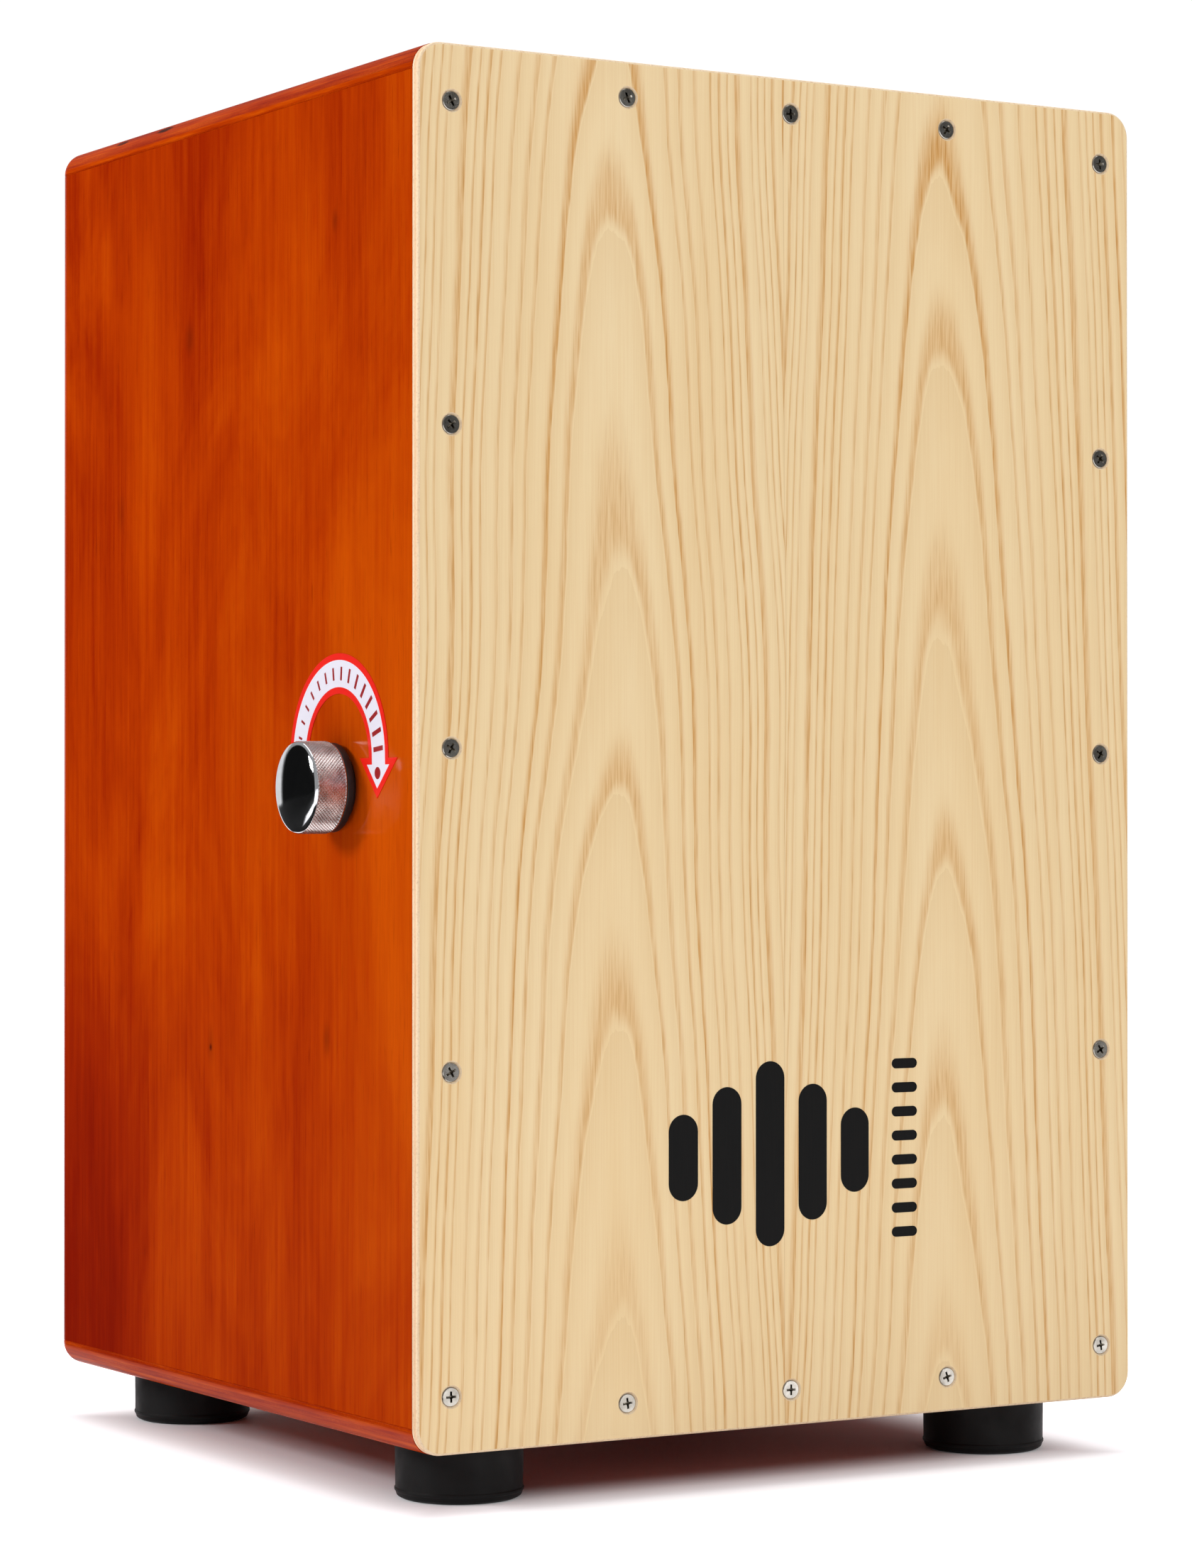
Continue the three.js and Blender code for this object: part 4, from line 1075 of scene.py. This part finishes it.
shaft_low, shaft_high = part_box("knob_shaft")
axis_y, axis_z = (shaft_low.y + shaft_high.y) / 2, (shaft_low.z + shaft_high.z) / 2
outward = (-1, 0, 0)
inward = (1, 0, 0)
on_axis = Vector((left_low.x, axis_y, axis_z))
grip_radius = 16 * MM
knurl_root = 15.4 * MM
dome_edge = 15.35 * MM
dome_crown = 1.75 * MM    # how far the middle of the cap stands proud
dome_roll = 0.5 * MM      # and how far it rolls away near its edge
knob_reach = 19 * MM
grip_back = 4.75 * MM     # where the grip meets its skirt
skirt_back = 1.75 * MM
skirt_radius = 15.5 * MM
bore = 4.375 * MM
bore_end = 12.875 * MM
knurl_start = 5.6 * MM
knurl_around = 80
knurl_rows = 17
knurl_pitch = math.tau * grip_radius / knurl_around
grub_height = 9 * MM
grub_hole = 2.375 * MM
grub_clear = 0.75 * MM    # the bare ring round the grub screw's hole


def drilled(piece, start, axis, radius, length):
    """Drills a round hole in a finished piece, from a point along an axis."""
    bm = bmesh.new()
    turned(bm, [(0, 0), (radius, 0), (radius, length), (0, length)], start, axis, 40)
    drill = new_object("drill", new_mesh(bm, "drill", smooth=False))
    modifier = piece.modifiers.new("drill", "BOOLEAN")
    modifier.operation = "DIFFERENCE"
    modifier.solver = "EXACT"
    modifier.object = drill
    piece.data = applied(piece, piece.name)
    piece.data.set_sharp_from_angle(angle=math.radians(sharp_turn))
    bpy.data.objects.remove(drill)


chrome = plated_steel("polished_chrome", srgb(222, 223, 226), 0.045, srgb(206, 207, 211))
knurled_chrome = plated_steel("knurled_chrome", srgb(226, 222, 220), 0.2, srgb(192, 186, 184))
dome_shares = [math.sin(math.radians(90 * i / 20)) for i in range(21)]
grip = [(dome_edge * share, knob_reach - dome_crown * share ** 2 - dome_roll * share ** 14)
        for share in dome_shares]
# the bead in front of the knurling, the root of the knurling, and the bead behind it
grip += [(r * MM, z * MM) for r, z in ((15.7, 16.35), (15.85, 16.1), (15.7, 15.9))]
grip += [(knurl_root, 15.8 * MM), (knurl_root, 5.3 * MM)]
grip += [(15.8 * MM, 5.15 * MM), (15.7 * MM, 4.85 * MM), (15.4 * MM, grip_back)]
grip += [(bore, grip_back), (bore, bore_end), (0, bore_end)]
knob_body = round_piece("knob_grip", grip, on_axis, outward, 128, chrome, "snare", "knob_chrome", "knob",
                        sharp=24.0)
drilled(knob_body, on_axis + Vector((-grub_height, 0, 0)), (0, 1, 0), grub_hole, grip_radius + 1 * MM)

knurl_points = []
for row in range(knurl_rows):
    for i in range(knurl_around):
        turn = math.tau * (i + 0.5 * (row % 2)) / knurl_around
        height = knurl_start + row * knurl_pitch / 2
        back, up = knurl_root * math.sin(turn), knurl_root * math.cos(turn)
        off_hole = math.hypot(height - grub_height, up)
        if off_hole > grub_hole + grub_clear or back < 0:
            knurl_points.append(on_axis + Vector((-height, back, up)))
# each tooth is a low four-sided pyramid with a blunt top, standing square on the grip
knurl_tree, given, result = new_tree("knurl", [
    ("Axis Point", "NodeSocketVector", None), ("Width", "NodeSocketFloat", 1 * MM),
    ("Height", "NodeSocketFloat", 1 * MM)])
given = given.outputs
tooth = add(knurl_tree, "GeometryNodeMeshCone", {
    "Vertices": 4, "Radius Top": product(knurl_tree, given["Width"], 0.12),
    "Radius Bottom": product(knurl_tree, given["Width"], 0.54), "Depth": given["Height"]})
root_point = add(knurl_tree, "GeometryNodeInputPosition").outputs[0]
spoke = vector_calc(knurl_tree, "SUBTRACT", root_point, given["Axis Point"])
spoke = vector_calc(knurl_tree, "MULTIPLY", spoke, (0.0, 1.0, 1.0))
aim = add(knurl_tree, "FunctionNodeAlignRotationToVector", {"Vector": spoke}, axis="Z", pivot_axis="X")
teeth = add(knurl_tree, "GeometryNodeInstanceOnPoints", {
    "Points": given["Geometry"], "Instance": tooth.outputs["Mesh"], "Rotation": aim.outputs[0]})
real_teeth = add(knurl_tree, "GeometryNodeRealizeInstances", {"Geometry": teeth.outputs[0]})
knurl_tree.links.new(dress(knurl_tree, real_teeth.outputs[0], knurled_chrome), result.inputs[0])
knurling = grown("knob_knurling", knurl_tree, {
    "Axis Point": on_axis, "Width": knurl_pitch, "Height": grip_radius - knurl_root}, knurl_points)
settle(knurling, "snare", "knob_chrome", "knob")

grub_low, grub_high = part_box("knob_grub_screw")
grub_length = grub_high.y - grub_low.y
grub_profile = [(0, 0), (1.2 * MM, 0), (2 * MM, 0.8 * MM)]
grub_profile += [(r * MM, grub_length - down * MM)
                 for r, down in ((2, 0.3), (1.7, 0), (1.1, 0), (1.0, 1.8), (0, 1.9))]
round_piece("grub_screw", grub_profile, (on_axis.x - grub_height, grub_low.y, axis_z), (0, 1, 0), 36,
            zinc, "snare", "plain_steel", "knob_grub_screw")


def moulded_plastic(name, colour):
    material, tree, shader = new_material(name)
    grain = noise(tree, place(tree), detail=3, scale=2200)
    wear = noise(tree, place(tree), detail=3, scale=150)
    tone = blend_colour(tree, remap(tree, wear, 0.5, 0.8, 0.0, 0.4), colour, srgb(42, 41, 41))
    rough = remap(tree, wear, 0.3, 0.7, 0.36, 0.5)
    wire(tree, shader, Base_Color=tone, Roughness=rough, Normal=bump(tree, grain, 0.03 * MM, 0.5),
         Specular_IOR_Level=0.4)
    return material


black_plastic = moulded_plastic("black_nylon", srgb(15, 15, 15))
skirt = [(bore, grip_back), (bore, skirt_back), (skirt_radius, skirt_back), (skirt_radius, grip_back)]
round_piece("knob_base", eased(skirt, 0.6 * MM, closed=True), on_axis, outward, 96,
            black_plastic, "snare", "black_plastic", "knob_skirt")

# ---------------------------------------------------------------------------------------------------------
# Bearings: a flanged nylon bush held in the left panel by a nut inside, and a beech block glued on the right
# panel with its own bush. Two dowels in the left panel stop the bar's peg at either end of its half turn.

nut_low, nut_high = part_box("knob_bush_nut")
block_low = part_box("bearing_block")[0]
bush_radius = 6 * MM
bush_flange = 13 * MM
flange_thick = 1.5 * MM
bush_reach = 14 * MM      # how far the bush stands in from the panel's face
nut_sides = 72
nut_bore = 6.1 * MM
block_bush_radius = 6.5 * MM
block_flange = 9 * MM
block_flange_thick = 1.25 * MM
block_bush_length = 15.25 * MM
drill_through = 25 * MM


def beech(name, grain):
    material, tree, shader = new_material(name)
    bands = noise(tree, stretched(tree, grain, 120, 5), detail=3, distortion=0.5)
    flecks = noise(tree, stretched(tree, grain, 1500, 260), detail=1)
    tone = ramp(tree, bands, [(0.35, srgb(216, 172, 122)), (0.65, srgb(232, 194, 146))])
    tone = blend_colour(tree, remap(tree, flecks, 0.62, 0.72, 0.0, 0.6), tone, srgb(166, 112, 70))
    wire(tree, shader, Base_Color=tone, Roughness=0.66, Normal=bump(tree, flecks, 0.05 * MM, 0.5),
         Specular_IOR_Level=0.3)
    return material


bush = [(bore, flange_thick), (bore, -bush_reach), (bush_radius, -bush_reach), (bush_radius, 0),
        (bush_flange, 0), (bush_flange, flange_thick)]
round_piece("knob_side_bush", eased(bush, 0.4 * MM, closed=True), on_axis, outward, 72,
            black_plastic, "drum", "black_plastic", "knob_bush")
left_board = bpy.data.objects["left_board"]
drilled(left_board, (left_low.x - 5 * MM, axis_y, axis_z), inward, bush_radius + 0.2 * MM, drill_through)

nut_thick = nut_high.x - nut_low.x
nut_corner, nut_chamfered, nut_chamfer = 9.75 * MM, 9.0 * MM, 0.45 * MM
flats = (nut_high.y - nut_low.y) / 2 * math.cos(math.pi / 6)


def nut_loop(limit, height, six_sided):
    """A hexagon whose corners are cut back to a round limit, or a plain circle."""
    loop = []
    for i in range(nut_sides):
        turn = math.tau * i / nut_sides
        flat = flats / math.cos((turn % (math.pi / 3)) - math.pi / 6)
        radius = min(limit, flat) if six_sided else limit
        loop.append((nut_low.x + height, axis_y + radius * math.sin(turn), axis_z + radius * math.cos(turn)))
    return loop


nut_loops = [nut_loop(*level) for level in (
    (nut_chamfered, 0, True), (nut_corner, nut_chamfer, True), (nut_corner, nut_thick - nut_chamfer, True),
    (nut_chamfered, nut_thick, True), (nut_bore, nut_thick, False), (nut_bore, 0, False))]
bm = bmesh.new()
skin(bm, nut_loops + [nut_loops[0]])
finish_piece(bm, "bush_nut", (nickel,), "drum", "nickel_screw", "knob_bush_nut")

block_wood = beech("beech_block", "Y")
block = eased_block("right_bearing_block", block_wood, 1.2 * MM, "drum", "beech", "bearing_block")
drilled(block, (block_low.x - 2 * MM, axis_y, axis_z), inward, block_bush_radius + 0.1 * MM, drill_through)
block_bush = [(bore, 0), (block_flange, 0), (block_flange, block_flange_thick),
              (block_bush_radius, block_flange_thick), (block_bush_radius, block_bush_length),
              (bore, block_bush_length)]
round_piece("right_bush", eased(block_bush, 0.35 * MM, closed=True),
            (block_low.x - block_flange_thick, axis_y, axis_z), inward, 72,
            black_plastic, "drum", "black_plastic", "bearing_bush")

dowel_wood = beech("beech_dowel", "X")


def round_bar(name, node, axis, material, body, slot_name, ease):
    """A dowel or shaft along one axis, filling its node's box, with softened ends."""
    low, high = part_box(node)
    middle = (low + high) / 2
    index = "XYZ".index(axis)
    start = middle.copy()
    start[index] = low[index]
    length = high[index] - low[index]
    other = (index + 1) % 3
    radius = (high[other] - low[other]) / 2
    direction = [0.0, 0.0, 0.0]
    direction[index] = 1.0
    profile = eased([(0, 0), (radius, 0), (radius, length), (0, length)], ease)
    round_piece(name, profile, start, direction, 40, material, body, slot_name, node)


round_bar("stop_dowel_on", "stop_pin_on", "X", dowel_wood, "drum", "beech", 0.7 * MM)
round_bar("stop_dowel_off", "stop_pin_off", "X", dowel_wood, "drum", "beech", 0.7 * MM)

# ---------------------------------------------------------------------------------------------------------
# Cross bar: a square beech bar with softened edges, turned by the knob's ground steel shaft at its left end
# and running on a steel pin at its right. A beech peg under it meets the two stop dowels.

ground_steel = plated_steel("ground_steel", srgb(178, 180, 184), 0.2, srgb(150, 152, 156))
eased_block("beech_cross_bar", dowel_wood, 2 * MM, "snare", "beech", "cross_bar")
round_bar("steel_shaft", "knob_shaft", "X", ground_steel, "snare", "plain_steel", 0.5 * MM)
round_bar("steel_pivot_pin", "pivot_pin", "X", ground_steel, "snare", "plain_steel", 0.5 * MM)
round_bar("beech_stop_peg", "stop_peg", "Z", beech("beech_peg", "Z"), "snare", "beech", 0.8 * MM)

# ---------------------------------------------------------------------------------------------------------
# Snares: on each side a bent strip of plated steel, screwed down on the bar, carries ten coiled wires that
# are soldered between two end plates and lie against the back of the front plate.

arm_thick = 2 * MM
arm_round = 1.4 * MM
arm_nip = 0.2 * MM
wire_plate_thick = 1 * MM
lower_plate, upper_plate = 12 * MM, 6 * MM
solder_start, solder_end = 9 * MM, 2 * MM     # where the wires end on the two plates
coil_radius = 0.98 * MM
coil_wire = 0.2 * MM
coil_pitch = 1.3 * MM
strand_count = 10
strand_pitch = 4 * MM
pan_head = cross_head_screw("pan_head_pattern", [(r * MM, z * MM) for r, z in (
    (2.7, 0), (3.6, -0.7), (4, -1.7), (4, -2.5), (1.75, -2.55), (1.75, -15), (0.3, -18))], 2.2 * MM, 1.6 * MM)
small_head = cross_head_screw("small_head_pattern", [(r * MM, z * MM) for r, z in (
    (1.9, 0), (2.7, -0.6), (3, -1.4), (3, -2), (1.5, -2.05), (1.5, -4.7), (1.2, -5))], 1.6 * MM, 1.2 * MM)
coil_tree, given, result = new_tree("coiled_wires", [
    ("Coil Radius", "NodeSocketFloat", 1 * MM), ("Wire Radius", "NodeSocketFloat", 0.2 * MM),
    ("Length", "NodeSocketFloat", 90 * MM), ("Turns", "NodeSocketFloat", 70.0)])
given = given.outputs
coil = add(coil_tree, "GeometryNodeCurveSpiral", {
    "Resolution": 9, "Rotations": given["Turns"], "Start Radius": given["Coil Radius"],
    "End Radius": given["Coil Radius"], "Height": given["Length"]})
wire_section = add(coil_tree, "GeometryNodeCurvePrimitiveCircle", {
    "Resolution": 5, "Radius": given["Wire Radius"]})
coil_mesh = add(coil_tree, "GeometryNodeCurveToMesh", {
    "Curve": coil.outputs[0], "Profile Curve": wire_section.outputs[0], "Fill Caps": True})
strand_turn = add(coil_tree, "FunctionNodeRandomValue", {"Min": 0.0, "Max": math.tau, "Seed": 3})
strand_facing = add(coil_tree, "ShaderNodeCombineXYZ", {"Z": strand_turn.outputs[1]})
strands = add(coil_tree, "GeometryNodeInstanceOnPoints", {
    "Points": given["Geometry"], "Instance": coil_mesh.outputs[0], "Rotation": strand_facing.outputs[0]})
real_strands = add(coil_tree, "GeometryNodeRealizeInstances", {"Geometry": strands.outputs[0]})
smooth_strands = add(coil_tree, "GeometryNodeSetShadeSmooth", {"Geometry": real_strands.outputs[0]})
snare_wire = plated_steel("snare_wire", srgb(196, 194, 190), 0.22, srgb(158, 156, 152))
coil_tree.links.new(dress(coil_tree, smooth_strands.outputs[0], snare_wire), result.inputs[0])

arm_screw_points = []
wire_screw_points = []
for hand in ("left", "right"):
    low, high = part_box(f"snare_arm_{hand}")
    bend_y = low.y + arm_thick
    strip = [(low.y, low.z), (high.y, low.z), (high.y, low.z + arm_thick), (bend_y, low.z + arm_thick),
             (bend_y, high.z), (low.y, high.z)]
    strip = eased(strip, arm_round, closed=True)
    strip_inner = inset_outline(strip, arm_nip)
    bm = bmesh.new()
    slab(bm, [[(x, y, z) for y, z in outline] for x, outline in (
        (low.x, strip_inner), (low.x + arm_nip, strip), (high.x - arm_nip, strip), (high.x, strip_inner))])
    finish_piece(bm, f"bent_arm_{hand}", (zinc,), "snare", "plain_steel", f"snare_arm_{hand}")
    middle_x = (low.x + high.x) / 2
    arm_screw_points.append(Vector((middle_x, axis_y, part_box(f"arm_screw_{hand}")[1].z)))
    screw_low, screw_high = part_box(f"wire_screw_{hand}")
    wire_screw_points.append(Vector((middle_x, screw_high.y, (screw_low.z + screw_high.z) / 2)))

    low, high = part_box(f"snare_wires_{hand}")
    middle_x = (low.x + high.x) / 2
    wire_plate_low = bend_y - arm_thick - wire_plate_thick
    bm = bmesh.new()
    for z0, z1 in ((low.z, low.z + lower_plate), (high.z - upper_plate, high.z)):
        plate_start = Vector((low.x, wire_plate_low, z0))
        eased_box(bm, plate_start, Vector((high.x, bend_y - arm_thick, z1)), 0.25 * MM)
    finish_piece(bm, f"wire_plates_{hand}", (zinc,), "snare", "snare_steel", f"snare_wires_{hand}")
    strand_y = low.y + coil_radius + coil_wire * 0.6
    strand_start = low.z + solder_start
    strand_length = high.z - solder_end - strand_start
    strand_points = [(middle_x + offset, strand_y, strand_start)
                     for offset in spread(strand_count, strand_pitch)]
    coils = grown(f"coiled_wires_{hand}", coil_tree, {
        "Coil Radius": coil_radius - coil_wire, "Wire Radius": coil_wire, "Length": strand_length,
        "Turns": strand_length / coil_pitch}, strand_points)
    settle(coils, "snare", "snare_steel", f"snare_wires_{hand}")

facing_up, facing_back = Euler((0, 0, 0)), Euler((-math.pi / 2, 0, 0))
drive("arm_screws", pan_head, nickel, facing_up, 2, arm_screw_points, "snare", "nickel_screw",
      "arm_screw_left", "arm_screw_right")
drive("wire_screws", small_head, nickel, facing_back, 4, wire_screw_points, "snare", "nickel_screw",
      "wire_screw_left", "wire_screw_right")

# ---------------------------------------------------------------------------------------------------------
# Studio: a white table with soft boxes at the upper left, in front and overhead; the table glows white past a
# painted shadow round the drum. Dark walls behind on the left and high in front, and painted dark reflections
# on the table, give the lacquer, the chrome and the screws something black to mirror.

dark_wall = Vector((-0.766, 0.643, 0.0))
front_wall = Vector((0.5, -0.83, 0.3))
white_sheet = Vector((0.105, 0.995, 0.0))
side_foot = Vector((-0.1, 0, 0))          # the middle of what the side panel mirrors of the table
side_heading = Vector((-0.5, 0.86, 0.0))
drum_half_wide, drum_half_deep = 0.15, 0.148
# how far the painted shadow round the drum's footprint fades in and out of its edge
painted_shadow_soft = 0.045
table_half = 4.0


def table_material():
    """White, glowing to plain white beyond a painted shadow round the drum's footprint. Its dark parts are
    painted reflections that only mirror rays see.
    """
    material, tree, shader = new_material("white_table")
    parts = place_parts(tree)
    # distance out from under the drum, less than 0 beneath it
    from_middle = calc(tree, "ABSOLUTE", calc(tree, "SUBTRACT", parts[0], shell_middle_x))
    across = calc(tree, "SUBTRACT", from_middle, drum_half_wide)
    along = calc(tree, "SUBTRACT", calc(tree, "ABSOLUTE", parts[1]), drum_half_deep)
    within = calc(tree, "MINIMUM", calc(tree, "MAXIMUM", across, along), 0.0)
    across, along = calc(tree, "MAXIMUM", across, 0.0), calc(tree, "MAXIMUM", along, 0.0)
    away = calc(tree, "SQRT", calc(tree, "MULTIPLY_ADD", across, across, product(tree, along, along)))
    signed_away = calc(tree, "ADD", away, within)
    # painted shadow: no glow well under the drum, rising to full glow just past its footprint
    glow = remap(tree, signed_away, -painted_shadow_soft, painted_shadow_soft, 0.0, 0.9, smooth=True)
    # painted reflection: a dark patch on the table, seen only by mirror rays, for what the side panel mirrors
    from_side = vector_calc(tree, "SUBTRACT", place(tree), side_foot)
    heading = vector_calc(tree, "NORMALIZE", from_side)
    towards = vector_calc(tree, "DOT_PRODUCT", heading, side_heading)
    reach = vector_calc(tree, "LENGTH", from_side)
    near_part = calc(tree, "MAXIMUM", remap(tree, towards, 0.82, 0.93, smooth=True),
                     remap(tree, reach, 0.42, 0.52, 1.0, 0.0, smooth=True))
    by_wall = vector_calc(tree, "DOT_PRODUCT", heading, dark_wall)
    far_part = product(tree, remap(tree, by_wall, 0.72, 0.8), remap(tree, reach, 0.75, 0.95, smooth=True))
    on_left = remap(tree, parts[0], -0.16, -0.2, 0.0, 1.0, smooth=True)
    dark_part = product(tree, calc(tree, "MAXIMUM", near_part, far_part), on_left)
    # painted reflection: the table is dark to mirror rays far out in front, where the second row of screws
    # mirrors it
    in_front = product(tree, remap(tree, parts[1], -1.0, -1.5, 0.0, 0.85, smooth=True),
                       remap(tree, parts[0], -0.1, 0.1, smooth=True))
    dark_part = calc(tree, "MAXIMUM", dark_part, in_front)
    rays = add(tree, "ShaderNodeLightPath").outputs
    dark = product(tree, dark_part, rays["Is Glossy Ray"])
    # the painted glow reaches the camera in full but lights other surfaces at only a tenth
    glow = product(tree, glow, remap(tree, rays["Is Diffuse Ray"], 0.0, 1.0, 1.0, 0.1))
    table = blend_colour(tree, dark, (0.86, 0.85, 0.89, 1), (0.01, 0.01, 0.01, 1))
    wire(tree, shader, Base_Color=table, Roughness=0.6, Specular_IOR_Level=0.1, Emission_Color=(1, 1, 1, 1),
         Emission_Strength=product(tree, calc(tree, "SUBTRACT", 1.0, dark), glow))
    # seen from below, the table is left out of the way
    below = add(tree, "ShaderNodeNewGeometry").outputs["Backfacing"]
    clear = add(tree, "ShaderNodeBsdfTransparent").outputs[0]
    one_sided = add(tree, "ShaderNodeMixShader", {0: below, 1: shader.outputs[0], 2: clear})
    add(tree, "ShaderNodeOutputMaterial", {"Surface": one_sided.outputs[0]}).is_active_output = True
    return material


table_mesh = bpy.data.meshes.new("table")
table_corners = [(x * table_half, y * table_half, 0) for x, y in ((-1, -1), (1, -1), (1, 1), (-1, 1))]
table_mesh.from_pydata(table_corners, [], [(0, 1, 2, 3)])
table_mesh.materials.append(table_material())
new_object("table", table_mesh)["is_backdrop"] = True


def softbox(name, place_at, aim, size, power):
    """A white rectangular light: where it stands, what it points at, width and height in metres, watts."""
    data = bpy.data.lights.new(name, "AREA")
    data.shape = "RECTANGLE"
    data.size, data.size_y = size
    data.energy = power
    lamp = new_object(name, data)
    lamp.location = place_at
    lamp.rotation_euler = (Vector(aim) - Vector(place_at)).to_track_quat("-Z", "Y").to_euler()


softbox("left_softbox", (-1.75, 0.55, 0.95), (0, 0, 0.25), (0.45, 0.45), 20)
softbox("front_softbox", (0.6, -2.4, 1.85), (0, 0, 0.25), (1.8, 1.4), 23)
softbox("top_softbox", (0.1, 0.2, 2.4), (0, 0, 0), (2.2, 2.2), 27)

world = bpy.data.worlds.new("white_room")
world.use_nodes = True
sky = world.node_tree
sky.nodes.clear()
direction = add(sky, "ShaderNodeTexCoord").outputs["Generated"]
room_fill = 0.39
sheet_gain = 0.5          # how much brighter the white sheet mirrors than the rest of the room
backdrop_white = 1.05
walls = []
for wall, edge_in, edge_out, darkness in ((dark_wall, 0.804, 0.839, 0.02), (front_wall, 0.92, 0.97, 0.2)):
    towards = vector_calc(sky, "DOT_PRODUCT", direction, wall.normalized())
    walls.append(remap(sky, towards, edge_in, edge_out, 1.0, darkness, smooth=True))
rays = add(sky, "ShaderNodeLightPath").outputs
towards = vector_calc(sky, "DOT_PRODUCT", direction, white_sheet)
sheet = product(sky, remap(sky, towards, 0.92, 0.95, smooth=True), rays["Is Glossy Ray"])
fill_light = product(sky, product(sky, *walls), plus_scaled(sky, room_fill, sheet, sheet_gain))
strength = add(sky, "ShaderNodeMix", {
    0: rays["Is Camera Ray"], 2: fill_light, 3: backdrop_white}, data_type="FLOAT").outputs[0]
background = add(sky, "ShaderNodeBackground", {"Color": (1, 1, 1, 1), "Strength": strength})
add(sky, "ShaderNodeOutputWorld", {"Surface": background.outputs[0]})
bpy.context.scene.world = world
bpy.context.scene.view_settings.view_transform = "Standard"

camera_data = bpy.data.cameras.new("camera")
camera_data.sensor_fit = "AUTO"
camera_data.sensor_width = 36
camera_data.lens = 98.3
camera = new_object("camera", camera_data)
camera_from_plate = Vector((-0.8367, -1.2587, 0.2153))     # from the foot of the plate's middle
camera.location = Vector((shell_middle_x, plate_low.y, bottom_low.z)) + camera_from_plate
yaw, pitch = math.radians(31.0), math.radians(0.404)
look = Vector((math.sin(yaw) * math.cos(pitch), math.cos(yaw) * math.cos(pitch), math.sin(pitch)))
camera.rotation_euler = look.to_track_quat("-Z", "Y").to_euler()
bpy.context.scene.camera = camera

low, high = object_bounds()
